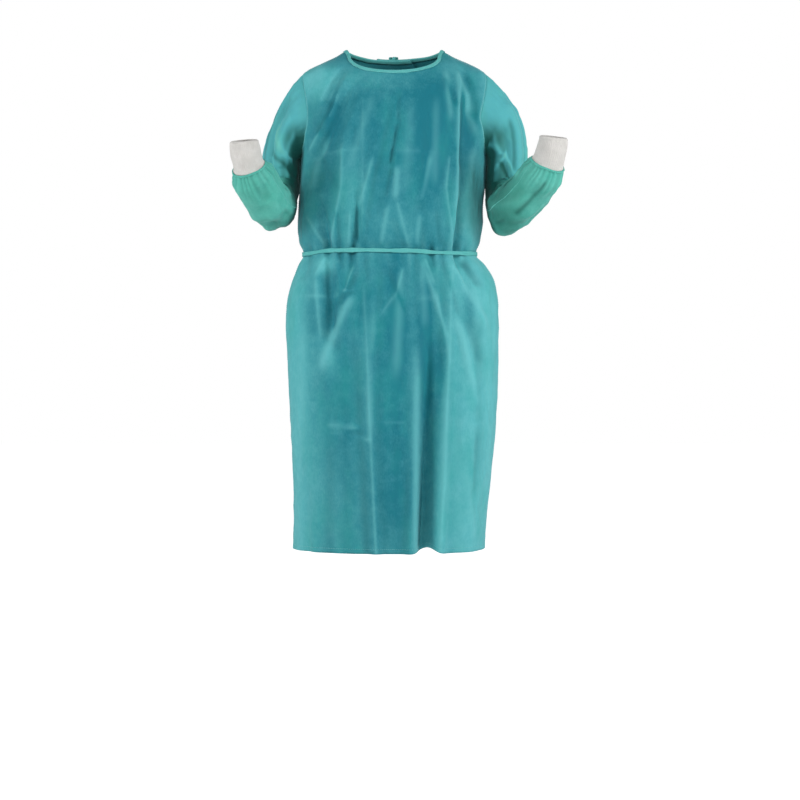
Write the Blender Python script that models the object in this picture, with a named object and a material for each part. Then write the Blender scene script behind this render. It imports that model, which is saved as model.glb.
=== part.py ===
"""An isolation gown of thin non-woven cloth, in the hollow shape it takes when it is worn with the forearms raised.

+Z is up, -Y is the front and +X is the wearer's left. The origin is the middle of the neck opening at the height
of the shoulders, where a wearer carries the gown. Lengths are in metres and angles in degrees.
"""

import math
from collections import namedtuple

import bmesh
import bpy
import numpy as np

CLOTH = 0.0015
KNIT = 0.0022
TIE = 0.0012
SEAM = 0.0003

HEM_HEIGHT = -1.130
BELT_LOW = -0.4655
BELT_HIGH = -0.4530
UNDERARM_HEIGHT = -0.242
SHOULDER_HEIGHT = -0.050
FRONT_NECK_DROP = 0.053
BACK_NECK_DROP = 0.016
FRONT_NECK_CURVE = 3.0
BACK_NECK_CURVE = 2.0

FRONT_COLUMNS = 46
BACK_COLUMNS = 22
ARMHOLE_STEPS = 6
SHOULDER_STEPS = 2
SPACING_HEIGHT = -0.70
BODY_ROWS = (
    HEM_HEIGHT, -1.050, -0.930, -0.810, -0.720, -0.650, -0.590, -0.545, -0.510, -0.485,
    BELT_LOW, BELT_HIGH, -0.436, -0.405, -0.360, -0.310, -0.270, UNDERARM_HEIGHT,
)

LEFT_SIDE = 0.0
CENTRE_BACK = 90.0
RIGHT_SIDE = 180.0
BACK_LAP = 17.0
LAP_RAMP = 24.0
OUTER_LAP = 0.0034
INNER_LAP = -0.0016
ARMHOLE_FRONT = 27.0
ARMHOLE_BACK = 25.0
ARMHOLE_ROUNDNESS = 0.62

# The plain form of the body at each height: how far it reaches to each side, to the front and to the back.
Level = namedtuple("Level", "height left right front back roundness")
BODY_LEVELS = (
    Level(-1.130, 0.206, 0.228, 0.165, 0.160, 2.20),
    Level(-1.060, 0.211, 0.227, 0.166, 0.162, 2.20),
    Level(-0.980, 0.220, 0.227, 0.166, 0.163, 2.20),
    Level(-0.880, 0.229, 0.231, 0.164, 0.163, 2.25),
    Level(-0.780, 0.235, 0.236, 0.161, 0.162, 2.25),
    Level(-0.690, 0.238, 0.240, 0.157, 0.161, 2.30),
    Level(-0.600, 0.238, 0.243, 0.151, 0.157, 2.30),
    Level(-0.550, 0.234, 0.236, 0.146, 0.151, 2.30),
    Level(-0.515, 0.224, 0.225, 0.140, 0.142, 2.30),
    Level(-0.488, 0.207, 0.214, 0.132, 0.130, 2.30),
    Level(BELT_LOW, 0.188, 0.205, 0.124, 0.118, 2.30),
    Level(BELT_HIGH, 0.188, 0.205, 0.124, 0.118, 2.30),
    Level(-0.435, 0.195, 0.212, 0.131, 0.124, 2.30),
    Level(-0.405, 0.198, 0.214, 0.137, 0.128, 2.35),
    Level(-0.360, 0.200, 0.212, 0.140, 0.130, 2.40),
    Level(-0.300, 0.204, 0.208, 0.138, 0.129, 2.40),
    Level(-0.242, 0.208, 0.206, 0.133, 0.125, 2.40),
    Level(-0.180, 0.216, 0.210, 0.122, 0.118, 2.35),
    Level(-0.120, 0.219, 0.212, 0.102, 0.106, 2.30),
    Level(-0.075, 0.214, 0.209, 0.080, 0.090, 2.20),
    Level(-0.050, 0.203, 0.200, 0.066, 0.078, 2.10),
    Level(-0.031, 0.170, 0.163, 0.054, 0.066, 2.05),
    Level(-0.015, 0.135, 0.130, 0.042, 0.055, 2.00),
    Level(0.000, 0.110, 0.107, 0.030, 0.042, 2.00),
    Level(0.012, 0.090, 0.087, 0.020, 0.031, 2.00),
)

# Folds run from a top to a foot, seen from the front. Depth is out of the form if positive and into it if negative.
Fold = namedtuple("Fold", "top_x top_z foot_x foot_z top_width foot_width top_depth foot_depth")
FRONT_FOLDS = (
    # The skirt, from the wearer's right to the left.
    Fold(-0.197, -0.440, -0.204, -0.530, 0.009, 0.012, -0.006, -0.004),
    Fold(-0.182, -0.560, -0.184, -1.200, 0.018, 0.022, 0.004, 0.006),
    Fold(-0.165, -0.452, -0.190, -0.640, 0.010, 0.020, 0.004, 0.007),
    Fold(-0.145, -0.430, -0.136, -0.700, 0.010, 0.019, -0.017, -0.015),
    Fold(-0.118, -0.446, -0.116, -0.530, 0.008, 0.009, -0.006, -0.003),
    Fold(-0.092, -0.520, -0.165, -0.800, 0.014, 0.022, 0.006, 0.007),
    Fold(-0.090, -0.445, -0.110, -0.560, 0.009, 0.012, -0.010, -0.004),
    Fold(-0.064, -0.640, -0.032, -1.250, 0.012, 0.014, 0.004, 0.008),
    Fold(-0.050, -0.452, -0.046, -0.620, 0.012, 0.020, 0.004, 0.004),
    Fold(-0.012, -0.446, -0.016, -0.600, 0.010, 0.016, -0.006, -0.003),
    Fold(0.038, -0.440, 0.046, -0.640, 0.010, 0.014, -0.008, -0.004),
    Fold(0.046, -0.640, 0.036, -1.250, 0.014, 0.015, 0.004, 0.014),
    Fold(0.070, -0.450, 0.124, -0.700, 0.010, 0.012, 0.004, 0.008),
    Fold(0.086, -0.446, 0.088, -0.500, 0.009, 0.010, -0.008, -0.005),
    Fold(0.082, -0.560, 0.066, -1.300, 0.014, 0.021, -0.006, -0.066),
    Fold(0.128, -0.560, 0.096, -1.250, 0.012, 0.014, 0.008, 0.015),
    Fold(0.120, -0.452, 0.208, -0.660, 0.010, 0.014, 0.004, 0.012),
    Fold(0.138, -0.440, 0.178, -0.600, 0.010, 0.013, -0.016, -0.010),
    Fold(0.160, -0.700, 0.164, -1.250, 0.018, 0.024, 0.003, 0.008),
    Fold(-0.190, -0.950, -0.192, -1.250, 0.010, 0.013, -0.004, -0.010),
    # The bodice, from the wearer's right to the left.
    Fold(-0.118, -0.040, -0.156, -0.135, 0.010, 0.011, -0.008, -0.007),
    Fold(-0.094, -0.045, -0.160, -0.215, 0.011, 0.013, 0.006, 0.008),
    Fold(-0.100, -0.080, -0.176, -0.270, 0.013, 0.014, -0.012, -0.018),
    Fold(-0.166, -0.330, -0.145, -0.475, 0.014, 0.010, -0.008, -0.016),
    Fold(-0.110, -0.200, -0.112, -0.340, 0.012, 0.014, 0.008, 0.003),
    Fold(-0.078, -0.300, -0.086, -0.475, 0.011, 0.010, -0.006, -0.012),
    Fold(0.016, -0.130, -0.056, -0.420, 0.014, 0.016, -0.005, -0.007),
    Fold(0.004, -0.370, 0.036, -0.470, 0.012, 0.010, 0.005, 0.005),
    Fold(0.060, -0.330, 0.062, -0.480, 0.014, 0.010, -0.004, -0.008),
    Fold(0.118, -0.045, 0.116, -0.220, 0.010, 0.012, 0.005, 0.003),
    Fold(0.147, -0.060, 0.130, -0.475, 0.011, 0.011, 0.008, 0.010),
    Fold(0.150, -0.030, 0.192, -0.180, 0.011, 0.015, -0.007, -0.010),
    Fold(0.170, -0.100, 0.160, -0.290, 0.020, 0.020, -0.016, -0.012),
    Fold(0.158, -0.320, 0.140, -0.475, 0.014, 0.011, -0.008, -0.018),
)
BACK_FOLDS = (
    Fold(-0.172, -0.430, -0.186, -0.640, 0.011, 0.020, -0.012, -0.006),
    Fold(-0.140, -0.452, -0.160, -1.250, 0.012, 0.022, 0.006, 0.014),
    Fold(-0.112, -0.435, -0.116, -1.250, 0.011, 0.024, -0.014, -0.024),
    Fold(-0.078, -0.440, -0.080, -0.780, 0.010, 0.016, -0.008, -0.004),
    Fold(-0.046, -0.452, -0.070, -1.250, 0.012, 0.022, 0.005, 0.012),
    Fold(-0.016, -0.440, -0.020, -0.660, 0.010, 0.016, -0.008, -0.004),
    Fold(0.020, -0.445, 0.030, -1.250, 0.012, 0.026, -0.006, -0.016),
    Fold(0.052, -0.445, 0.056, -0.600, 0.010, 0.015, -0.009, -0.004),
    Fold(0.080, -0.452, 0.082, -1.250, 0.013, 0.022, 0.006, 0.014),
    Fold(0.112, -0.435, 0.130, -1.250, 0.011, 0.024, -0.014, -0.026),
    Fold(0.150, -0.445, 0.166, -0.700, 0.011, 0.018, -0.012, -0.006),
    Fold(-0.120, -0.040, -0.170, -0.260, 0.012, 0.016, -0.007, -0.014),
    Fold(-0.130, -0.260, -0.112, -0.480, 0.014, 0.011, 0.006, -0.014),
    Fold(-0.060, -0.200, -0.040, -0.475, 0.018, 0.011, -0.003, -0.012),
    Fold(-0.010, -0.300, -0.004, -0.475, 0.014, 0.010, 0.004, -0.008),
    Fold(0.050, -0.240, 0.052, -0.475, 0.016, 0.010, -0.003, -0.012),
    Fold(0.120, -0.040, 0.176, -0.260, 0.012, 0.016, -0.007, -0.014),
    Fold(0.128, -0.280, 0.112, -0.480, 0.014, 0.011, 0.005, -0.015),
)
FOLD_FADE = 0.22
SIDE_CALM = 2.4

# Each sleeve hangs from the armhole to the first ring, then follows these stretches. Each turns towards an aim, given
# as outward, back and up. Across is half its width sideways and deep is half its width fore and aft.
Stretch = namedtuple("Stretch", "length turn aim rings across deep")
Sleeve = namedtuple("Sleeve", "side first_x first_y first_z first_tilt across deep cap_pull stretches folds cuff")
# Sleeve folds cross from one angle round the sleeve to another, at shares of its length.
Crease = namedtuple("Crease", "angle share end_angle end_share width depth")
UP = (0.0, 0.0, 1.0)
LEFT_SLEEVE = Sleeve(
    side=1, first_x=0.2560, first_y=0.006, first_z=-0.250, first_tilt=1.0, across=0.0450, deep=0.068,
    cap_pull=1.35,
    stretches=(
        Stretch(0.045, 0.0, UP, 2, 0.0465, 0.064),
        Stretch(0.090, 74.0, (0.00, -1.00, 0.00), 5, 0.0465, 0.056),
        Stretch(0.060, 58.0, (0.62, -0.35, 0.70), 3, 0.0470, 0.053),
        Stretch(0.055, 6.0, UP, 2, 0.0475, 0.049),
        Stretch(0.055, 12.0, UP, 2, 0.0460, 0.047),
        Stretch(0.024, 12.0, UP, 1, 0.0365, 0.038),
    ),
    folds=(
        Crease(330.0, 0.10, 352.0, 0.48, 16.0, 0.006),
        Crease(10.0, 0.06, 30.0, 0.50, 14.0, -0.007),
        Crease(45.0, 0.08, 62.0, 0.42, 13.0, 0.006),
        Crease(84.0, 0.12, 100.0, 0.46, 16.0, -0.008),
        Crease(35.0, 0.44, 98.0, 0.56, 15.0, -0.006),
        Crease(20.0, 0.62, 120.0, 0.60, 14.0, 0.005),
        Crease(250.0, 0.30, 236.0, 0.72, 18.0, 0.006),
        Crease(285.0, 0.42, 300.0, 0.86, 17.0, -0.006),
        Crease(215.0, 0.70, 320.0, 0.80, 13.0, -0.006),
        Crease(150.0, 0.64, 230.0, 0.88, 16.0, 0.006),
        Crease(190.0, 0.86, 330.0, 0.90, 14.0, -0.005),
        Crease(30.0, 0.74, 20.0, 0.98, 15.0, -0.005),
        Crease(110.0, 0.72, 96.0, 0.98, 15.0, 0.005),
    ),
    cuff=(
        Stretch(0.012, 4.0, UP, 1, 0.0330, 0.0340),
        Stretch(0.026, 9.0, UP, 1, 0.0325, 0.0335),
        Stretch(0.024, 7.0, UP, 1, 0.0305, 0.0315),
    ),
)
RIGHT_SLEEVE = Sleeve(
    side=-1, first_x=0.2575, first_y=0.006, first_z=-0.248, first_tilt=2.0, across=0.0400, deep=0.068,
    cap_pull=0.75,
    stretches=(
        Stretch(0.040, 0.0, UP, 2, 0.0420, 0.064),
        Stretch(0.086, 72.0, (0.00, -1.00, 0.00), 5, 0.0420, 0.055),
        Stretch(0.055, 48.0, (0.46, -0.50, 0.62), 3, 0.0430, 0.046),
        Stretch(0.045, 8.0, UP, 2, 0.0470, 0.048),
        Stretch(0.055, 12.0, UP, 2, 0.0480, 0.048),
        Stretch(0.024, 12.0, UP, 1, 0.0360, 0.038),
    ),
    folds=(
        Crease(336.0, 0.08, 6.0, 0.30, 15.0, -0.006),
        Crease(340.0, 0.30, 60.0, 0.36, 15.0, 0.009),
        Crease(40.0, 0.06, 74.0, 0.36, 15.0, -0.008),
        Crease(72.0, 0.08, 96.0, 0.30, 13.0, 0.006),
        Crease(40.0, 0.46, 100.0, 0.56, 15.0, -0.006),
        Crease(250.0, 0.30, 262.0, 0.74, 18.0, -0.006),
        Crease(288.0, 0.36, 300.0, 0.80, 16.0, 0.006),
        Crease(200.0, 0.72, 300.0, 0.70, 13.0, -0.007),
        Crease(210.0, 0.80, 330.0, 0.79, 14.0, 0.006),
        Crease(24.0, 0.72, 16.0, 0.98, 15.0, 0.005),
        Crease(120.0, 0.70, 104.0, 0.98, 15.0, -0.005),
        Crease(230.0, 0.88, 236.0, 1.00, 15.0, -0.005),
    ),
    cuff=(
        Stretch(0.012, 6.0, UP, 1, 0.0330, 0.0340),
        Stretch(0.026, 10.0, UP, 1, 0.0325, 0.0335),
        Stretch(0.024, 8.0, UP, 1, 0.0305, 0.0315),
    ),
)
CAP_RINGS = 5
CAP_REACH = 0.20
CAP_SLOPE = (0.75, -0.66)
UNDERARM_LEAN = 0.75
UNDERARM_PULL = 0.85
SLEEVE_COLUMNS = 4 * ARMHOLE_STEPS
CREASE_FADE = 0.06

BELT_STATIONS = 72
BELT_CLEAR = 0.0011
BELT_THICKNESS = 0.0020
BELT_STEP = 7.0

STRIP_DEPTH = 0.0090
BINDING_DEPTH = 0.0080
BINDING_CLEAR = 0.0006
BINDING_THICKNESS = 0.0009

# A tie at the centre back is a knot with two free ends. Lift is how far the knot's middle is off the cloth's form.
Knot = namedtuple("Knot", "name height lift wide tall deep tape first second")
# A free end leaves the knot at one angle and has another at its foot.
End = namedtuple("End", "top_angle foot_angle length")
NECK_KNOT = Knot("neck_tie", -0.0175, 0.0102, 0.0105, 0.0062, 0.0042, 0.0040, End(89.0, 84.5, 0.150),
                 End(91.5, 97.0, 0.128))
WAIST_KNOT = Knot("waist_tie", -0.4590, 0.0118, 0.0150, 0.0088, 0.0046, 0.0056, End(88.0, 84.0, 0.260),
                  End(92.0, 95.5, 0.225))
KNOT_SEGMENTS = 14
KNOT_RINGS = 8
SMALLEST_EDGE = 0.0003
END_STATIONS = 12
END_CLEAR = 0.0024
END_SPREAD = 3.5
END_DROP = 7.0

# Colours, roughness and metal of the finishes.
Finish = namedtuple("Finish", "colour roughness metallic")
FINISHES = {
    "gown_cloth": Finish((0.060, 0.330, 0.360, 1.0), 0.75, 0.0),
    "sleeve_cloth": Finish((0.080, 0.400, 0.370, 1.0), 0.75, 0.0),
    "tie_cloth": Finish((0.140, 0.480, 0.480, 1.0), 0.75, 0.0),
    "cuff_knit": Finish((0.780, 0.780, 0.760, 1.0), 0.90, 0.0),
}


def unit(vectors):
    """The vectors at length 1."""
    return vectors / np.linalg.norm(vectors, axis=-1, keepdims=True)


def ease(share):
    """A share clamped to 0 and 1 that starts and stops gently."""
    share = np.clip(share, 0.0, 1.0)
    return share * share * (3.0 - 2.0 * share)


def read_level(column, height):
    """One column of the body's levels at any height, on a smooth curve through its rows."""
    heights = np.array([level.height for level in BODY_LEVELS])
    values = np.array([getattr(level, column) for level in BODY_LEVELS])
    slopes = np.gradient(values, heights)
    at = np.clip(height, heights[0], heights[-1])
    i = np.clip(np.searchsorted(heights, at) - 1, 0, len(heights) - 2)
    span = heights[i + 1] - heights[i]
    t = (at - heights[i]) / span
    start = (1 + 2 * t) * (1 - t) ** 2 * values[i] + t * (1 - t) ** 2 * span * slopes[i]
    end = t * t * (3 - 2 * t) * values[i + 1] + t * t * (t - 1) * span * slopes[i + 1]
    return start + end


def form(angle, height):
    """Points on the plain body form, with no folds."""
    turn = np.radians(angle)
    across, along = np.cos(turn), np.sin(turn)
    width = np.where(across > 0, read_level("left", height), read_level("right", height))
    depth = np.where(along > 0, read_level("back", height), read_level("front", height))
    power = 2.0 / read_level("roundness", height)
    x = width * np.sign(across) * np.abs(across) ** power
    y = depth * np.sign(along) * np.abs(along) ** power
    return np.stack([x, y, np.broadcast_to(height, x.shape)], axis=-1)


def facing(surface, angle, height, turn_step=1.5, height_step=0.004):
    """Outward unit normals of a surface that is a function of angle and height."""
    along = surface(angle + turn_step, height) - surface(angle - turn_step, height)
    up = surface(angle, height + height_step) - surface(angle, height - height_step)
    return unit(np.cross(along, up))


def fold_depth(folds, x, z):
    """How far a set of folds moves the cloth out of the form at each x and z."""
    depth = np.zeros_like(x)
    for fold in folds:
        run = (fold.top_z - z) / (fold.top_z - fold.foot_z)
        share = np.clip(run, 0.0, 1.0)
        middle = fold.top_x + (fold.foot_x - fold.top_x) * share
        width = fold.top_width + (fold.foot_width - fold.top_width) * share
        height = fold.top_depth + (fold.foot_depth - fold.top_depth) * share
        fade = ease(run / FOLD_FADE) * ease((1.0 - run) / FOLD_FADE)
        depth += height * fade * np.exp(-(((x - middle) / width) ** 2))
    return depth


def gown(angle, height):
    """Points on the outside of the body's cloth, folds included."""
    base = form(angle, height)
    across = np.sin(np.radians(angle))
    front = fold_depth(FRONT_FOLDS, base[..., 0], base[..., 2])
    back = fold_depth(BACK_FOLDS, base[..., 0], base[..., 2])
    depth = np.where(across < 0, front, back) * ease(SIDE_CALM * np.abs(across))
    middle, reach = (BELT_LOW + BELT_HIGH) / 2, (BELT_HIGH - BELT_LOW)
    held = 1.0 - ease(np.abs(height - middle) / reach - 0.5)
    depth = depth * (1.0 - held) + np.minimum(depth, 0.0) * held
    return base + facing(form, angle, height) * depth[..., None]


def lap(angle, panel):
    """How far a back panel lies off the form where the two of them lap."""
    if panel == "back_left":
        return OUTER_LAP * ease((angle - (CENTRE_BACK - BACK_LAP - LAP_RAMP)) / LAP_RAMP)
    if panel == "back_right":
        return INNER_LAP * ease(((CENTRE_BACK + BACK_LAP + LAP_RAMP) - angle) / LAP_RAMP)
    return np.zeros_like(angle)


def neck_height(angle):
    """The height of the neck edge at each angle round the body."""
    across = np.sin(np.radians(angle))
    front = FRONT_NECK_DROP * np.abs(across) ** FRONT_NECK_CURVE
    back = BACK_NECK_DROP * np.abs(across) ** BACK_NECK_CURVE
    return -np.where(across < 0, front, back)


def side_rows():
    """Heights of the rows at the side of the body, from the hem to the neck."""
    armhole = UNDERARM_HEIGHT + (SHOULDER_HEIGHT - UNDERARM_HEIGHT) * np.array(
        [(1 - math.cos(math.pi * k / ARMHOLE_STEPS)) / 2 for k in range(1, ARMHOLE_STEPS + 1)]
    )
    shoulder = np.linspace(SHOULDER_HEIGHT, 0.0, SHOULDER_STEPS + 1)[1:]
    return np.concatenate([BODY_ROWS, armhole, shoulder])


def row_height(side_height, angle):
    """The height of a row at an angle: above the underarm it bends to follow the neck edge."""
    lift = (side_height - UNDERARM_HEIGHT) / -UNDERARM_HEIGHT
    bent = UNDERARM_HEIGHT + lift * (neck_height(angle) - UNDERARM_HEIGHT)
    return np.where(side_height > UNDERARM_HEIGHT, bent, side_height)


def armhole_cut(side_height, widest):
    """How many degrees of the body the armhole takes from a panel at a row."""
    share = (side_height - UNDERARM_HEIGHT) / (SHOULDER_HEIGHT - UNDERARM_HEIGHT)
    share = np.clip(share, 0.0, 1.0)
    return widest * np.sin(np.pi * share) ** ARMHOLE_ROUNDNESS


def even_angles(low, high, count):
    """Angles from low to high that lie evenly along the cloth at the hips."""
    fine = np.linspace(low, high, 400)
    points = form(fine, np.full_like(fine, SPACING_HEIGHT))
    steps = np.linalg.norm(np.diff(points, axis=0), axis=1)
    run = np.concatenate([[0.0], np.cumsum(steps)])
    return np.interp(np.linspace(0.0, run[-1], count + 1), run, fine)


def panel_grid(panel):
    """Angles and heights of a panel's points, one row from edge to edge for each height."""
    rows = side_rows()
    if panel == "front":
        plain = even_angles(-RIGHT_SIDE, LEFT_SIDE, FRONT_COLUMNS)
        low_cut = high_cut = armhole_cut(rows, ARMHOLE_FRONT)
    elif panel == "back_left":
        plain = even_angles(LEFT_SIDE, CENTRE_BACK + BACK_LAP, BACK_COLUMNS)
        low_cut, high_cut = armhole_cut(rows, ARMHOLE_BACK), np.zeros_like(rows)
    else:
        plain = even_angles(CENTRE_BACK - BACK_LAP, RIGHT_SIDE, BACK_COLUMNS)
        low_cut, high_cut = np.zeros_like(rows), armhole_cut(rows, ARMHOLE_BACK)
    share = (plain - plain[0]) / (plain[-1] - plain[0])
    low, high = plain[0] + low_cut, plain[-1] - high_cut
    angle = low[:, None] + share[None, :] * (high - low)[:, None]
    return with_strip(angle, row_height(rows[:, None], angle))


def with_strip(angle, height):
    """Puts in the row that bounds the narrow strip under the neck binding."""
    run = np.linalg.norm(form(angle[-1], height[-1]) - form(angle[-2], height[-2]), axis=1)
    strip = height[-1] + (height[-2] - height[-1]) * STRIP_DEPTH / run
    return np.insert(angle, -1, angle[-1], axis=0), np.insert(height, -1, strip, axis=0)


def panel_walls(panel):
    """The outer points of a panel and the way out of its cloth at each."""
    angle, height = panel_grid(panel)
    out = facing(gown, angle, height)
    return gown(angle, height) + out * lap(angle, panel)[..., None], out


def armhole_rows():
    """The rows that the armhole runs along, from the underarm to the shoulder."""
    first = len(BODY_ROWS) - 1
    return range(first, first + ARMHOLE_STEPS + 1)


def armhole_loop(side):
    """The armhole's corners from the shoulder by the front, the underarm and the back, each with the way out of
    the cloth and the way into the opening along the cloth."""
    front, front_out = panel_walls("front")
    back, back_out = panel_walls("back_left" if side > 0 else "back_right")
    front_edge, back_edge = (-1, 0) if side > 0 else (0, -1)
    rows = list(armhole_rows())
    points = [front[r, front_edge] for r in reversed(rows)] + [back[r, back_edge] for r in rows[1:-1]]
    outs = [front_out[r, front_edge] for r in reversed(rows)] + [back_out[r, back_edge] for r in rows[1:-1]]
    points, outs = np.array(points), np.array(outs)
    along = unit(np.roll(points, -1, axis=0) - np.roll(points, 1, axis=0))
    into = unit(np.cross(along, outs))
    into *= np.sign(np.sum(into * (points.mean(axis=0) - points), axis=1))[:, None]
    return points, outs, into


def open_seams(panel, points, outs):
    """Moves a panel's edges back from its seams, so that it stands clear of what is sewn to it."""
    moved = points.copy()
    rows = list(armhole_rows())
    sides = {"front": ((0, 1, -1), (-1, -2, 1)), "back_left": ((0, 1, 1),), "back_right": ((-1, -2, -1),)}
    for edge, inner, side in sides[panel]:
        inward = unit(points[:, inner] - points[:, edge])
        cut = np.zeros(len(points), bool)
        cut[rows[1:-1]] = True
        moved[~cut, edge] += inward[~cut] * SEAM / 2
        loop, _, into = armhole_loop(side)
        for row in rows:
            nearest = np.argmin(np.linalg.norm(loop - points[row, edge], axis=1))
            moved[row, edge] -= into[nearest] * SEAM / 2
    return moved


def wall(name, outer, inner, finish, closed=False):
    """One closed solid between two grids of points. Its columns join up if it is closed.

    Both sides are split along the same diagonals, the short ones of the outside, so that the wall keeps its
    thickness where the cloth twists.
    """
    rows, columns = outer.shape[:2]
    points = np.concatenate([outer.reshape(-1, 3), inner.reshape(-1, 3)])
    last = columns if closed else columns - 1

    def at(layer, row, column):
        return (layer * rows + row) * columns + column % columns

    faces = []
    for row in range(rows - 1):
        for column in range(last):
            corners = [(row, column), (row, column + 1), (row + 1, column + 1), (row + 1, column)]
            ends = [points[at(0, *corner)] for corner in corners]
            if np.linalg.norm(ends[0] - ends[2]) > np.linalg.norm(ends[1] - ends[3]):
                corners = corners[1:] + corners[:1]
            for half in ((0, 1, 2), (0, 2, 3)):
                faces.append([at(0, *corners[i]) for i in half])
                faces.append([at(1, *corners[i]) for i in reversed(half)])
    rim = [(row, c, row, c + 1) for row in (0, rows - 1) for c in range(last)]
    if not closed:
        rim += [(r, c, r + 1, c) for c in (0, columns - 1) for r in range(rows - 1)]
    for row, column, next_row, next_column in rim:
        near, far = (row, column), (next_row, next_column)
        faces.append([at(0, *near), at(0, *far), at(1, *far)])
        faces.append([at(0, *near), at(1, *far), at(1, *near)])
    return solid(name, points, faces, finish)


def solid(name, points, faces, finish):
    """A mesh object from points and faces, with its faces turned outwards."""
    mesh = bpy.data.meshes.new(name)
    mesh.from_pydata([tuple(p) for p in points], [], faces)
    shape = bmesh.new()
    shape.from_mesh(mesh)
    bmesh.ops.recalc_face_normals(shape, faces=shape.faces)
    shape.to_mesh(mesh)
    shape.free()
    mesh.shade_smooth()
    return place(bpy.data.objects.new(name, mesh), finish)


def place(piece, finish):
    """Puts a piece in the gown's collection with its material."""
    piece.data.materials.clear()
    piece.data.materials.append(MATERIALS[finish])
    for collection in list(piece.users_collection):
        collection.objects.unlink(piece)
    GOWN.objects.link(piece)
    return piece


def body_panel(panel, name):
    """A body panel: the front, or one of the two backs."""
    points, outs = panel_walls(panel)
    outer = open_seams(panel, points, outs)
    return wall(name, outer, outer - outs * CLOTH, "gown_cloth")


def turned(vectors, axis, angle):
    """Vectors turned about an axis through the origin."""
    c, s = math.cos(angle), math.sin(angle)
    return vectors * c + np.cross(axis, vectors) * s + np.outer(vectors @ axis, axis) * (1 - c)


def follow(start, frame, stretches, side):
    """Rings along an arm: each is its centre, its frame (outward, front, along) and the stretch it ends or is on."""
    centre, rings = start.copy(), []
    for stretch in stretches:
        step = stretch.length / stretch.rings
        bend = math.radians(stretch.turn) / stretch.rings
        aim = np.array(stretch.aim) * (side, 1.0, 1.0)
        axis = unit(np.cross(frame[2], aim))
        for _ in range(stretch.rings):
            half = turned(frame, axis, bend / 2)
            chord = step if bend == 0 else step * math.sin(bend / 2) / (bend / 2)
            centre = centre + half[2] * chord
            frame = turned(frame, axis, bend)
            rings.append((centre, frame, stretch))
    return rings


def widths(start_across, start_deep, rings):
    """Half widths of each ring, running evenly from one stretch's to the next."""
    knots, across, deep = [0.0], [start_across], [start_deep]
    for count, (_, _, stretch) in enumerate(rings, start=1):
        if count == len(rings) or rings[count][2] is not stretch:
            knots.append(float(count))
            across.append(stretch.across)
            deep.append(stretch.deep)
    at = np.arange(1, len(rings) + 1)
    return np.interp(at, knots, across), np.interp(at, knots, deep)


def ring_points(centre, frame, across, deep):
    """The points of an oval ring, from outward by the front."""
    turn = np.linspace(0.0, 2 * math.pi, SLEEVE_COLUMNS, endpoint=False)[:, None]
    return centre + across * np.cos(turn) * frame[0] + deep * np.sin(turn) * frame[1]


def crease_depth(creases, rows, columns):
    """How far the sleeve's folds move its cloth, at each ring and column."""
    share = np.linspace(0.0, 1.0, rows)[:, None]
    angle = np.arange(columns)[None, :] * 360.0 / columns
    depth = np.zeros((rows, columns))
    for crease in creases:
        sweep = (crease.end_angle - crease.angle + 180.0) % 360.0 - 180.0
        rise = crease.end_share - crease.share
        if abs(sweep) / 360.0 > abs(rise):
            run = ((angle - crease.angle + 180.0) % 360.0 - 180.0) / sweep
            off = (share - crease.share - rise * run) * 360.0
        else:
            run = (share - crease.share) / rise
            off = (angle - crease.angle - sweep * run + 180.0) % 360.0 - 180.0
        fade = ease(0.5 + run / (2 * CREASE_FADE)) * ease(0.5 + (1.0 - run) / (2 * CREASE_FADE))
        depth += crease.depth * fade * np.exp(-((off / crease.width) ** 2))
    return depth * ease(share / 0.10) * ease((1.0 - share) / 0.06)


def grid_out(points):
    """Outward unit normals of a tube of rings."""
    around = np.roll(points, -1, axis=1) - np.roll(points, 1, axis=1)
    along = np.gradient(points, axis=0)
    out = unit(np.cross(around, along))
    away = points - points.mean(axis=1, keepdims=True)
    return out * np.sign(np.sum(out * away))


def arm_frame(sleeve):
    """The frame of a sleeve's first ring: outward, front and along the arm."""
    tilt = math.radians(sleeve.first_tilt)
    outward = np.array([sleeve.side * math.cos(tilt), 0.0, math.sin(tilt)])
    along = np.array([sleeve.side * math.sin(tilt), 0.0, -math.cos(tilt)])
    return np.array([outward, [0.0, -1.0, 0.0], along])


def with_middles(corners):
    """A closed loop's corners with the middle of each side put between them."""
    middles = (corners + np.roll(corners, -1, axis=0)) / 2
    return np.stack([corners, middles], axis=1).reshape(-1, 3)


def sleeve_cap(sleeve, armhole, into, first_ring):
    """Rings that carry the cloth from the armhole over the shoulder to the arm's first ring."""
    turn = np.linspace(0.0, 2 * math.pi, SLEEVE_COLUMNS, endpoint=False)
    top = ((1 + np.cos(turn)) / 2)[:, None]
    along_body = (0.15 + 0.85 * (1 - top[:, 0]) ** 2)[:, None] * into
    over = top * np.array([sleeve.side * CAP_SLOPE[0], 0.0, CAP_SLOPE[1]])
    leave = unit(along_body + over + (1 - top) * np.array([sleeve.side * UNDERARM_LEAN, 0.0, 0.0]))
    arrive = arm_frame(sleeve)[2]
    pull = UNDERARM_PULL + (sleeve.cap_pull - UNDERARM_PULL) * top
    reach = pull * np.linalg.norm(first_ring - armhole, axis=1)[:, None]
    rings = []
    for step in range(1, CAP_RINGS):
        t = step / CAP_RINGS
        rings.append(
            (1 + 2 * t) * (1 - t) ** 2 * armhole + t * (1 - t) ** 2 * leave * reach
            + t * t * (3 - 2 * t) * first_ring + t * t * (t - 1) * arrive * reach
        )
    return rings


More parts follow.
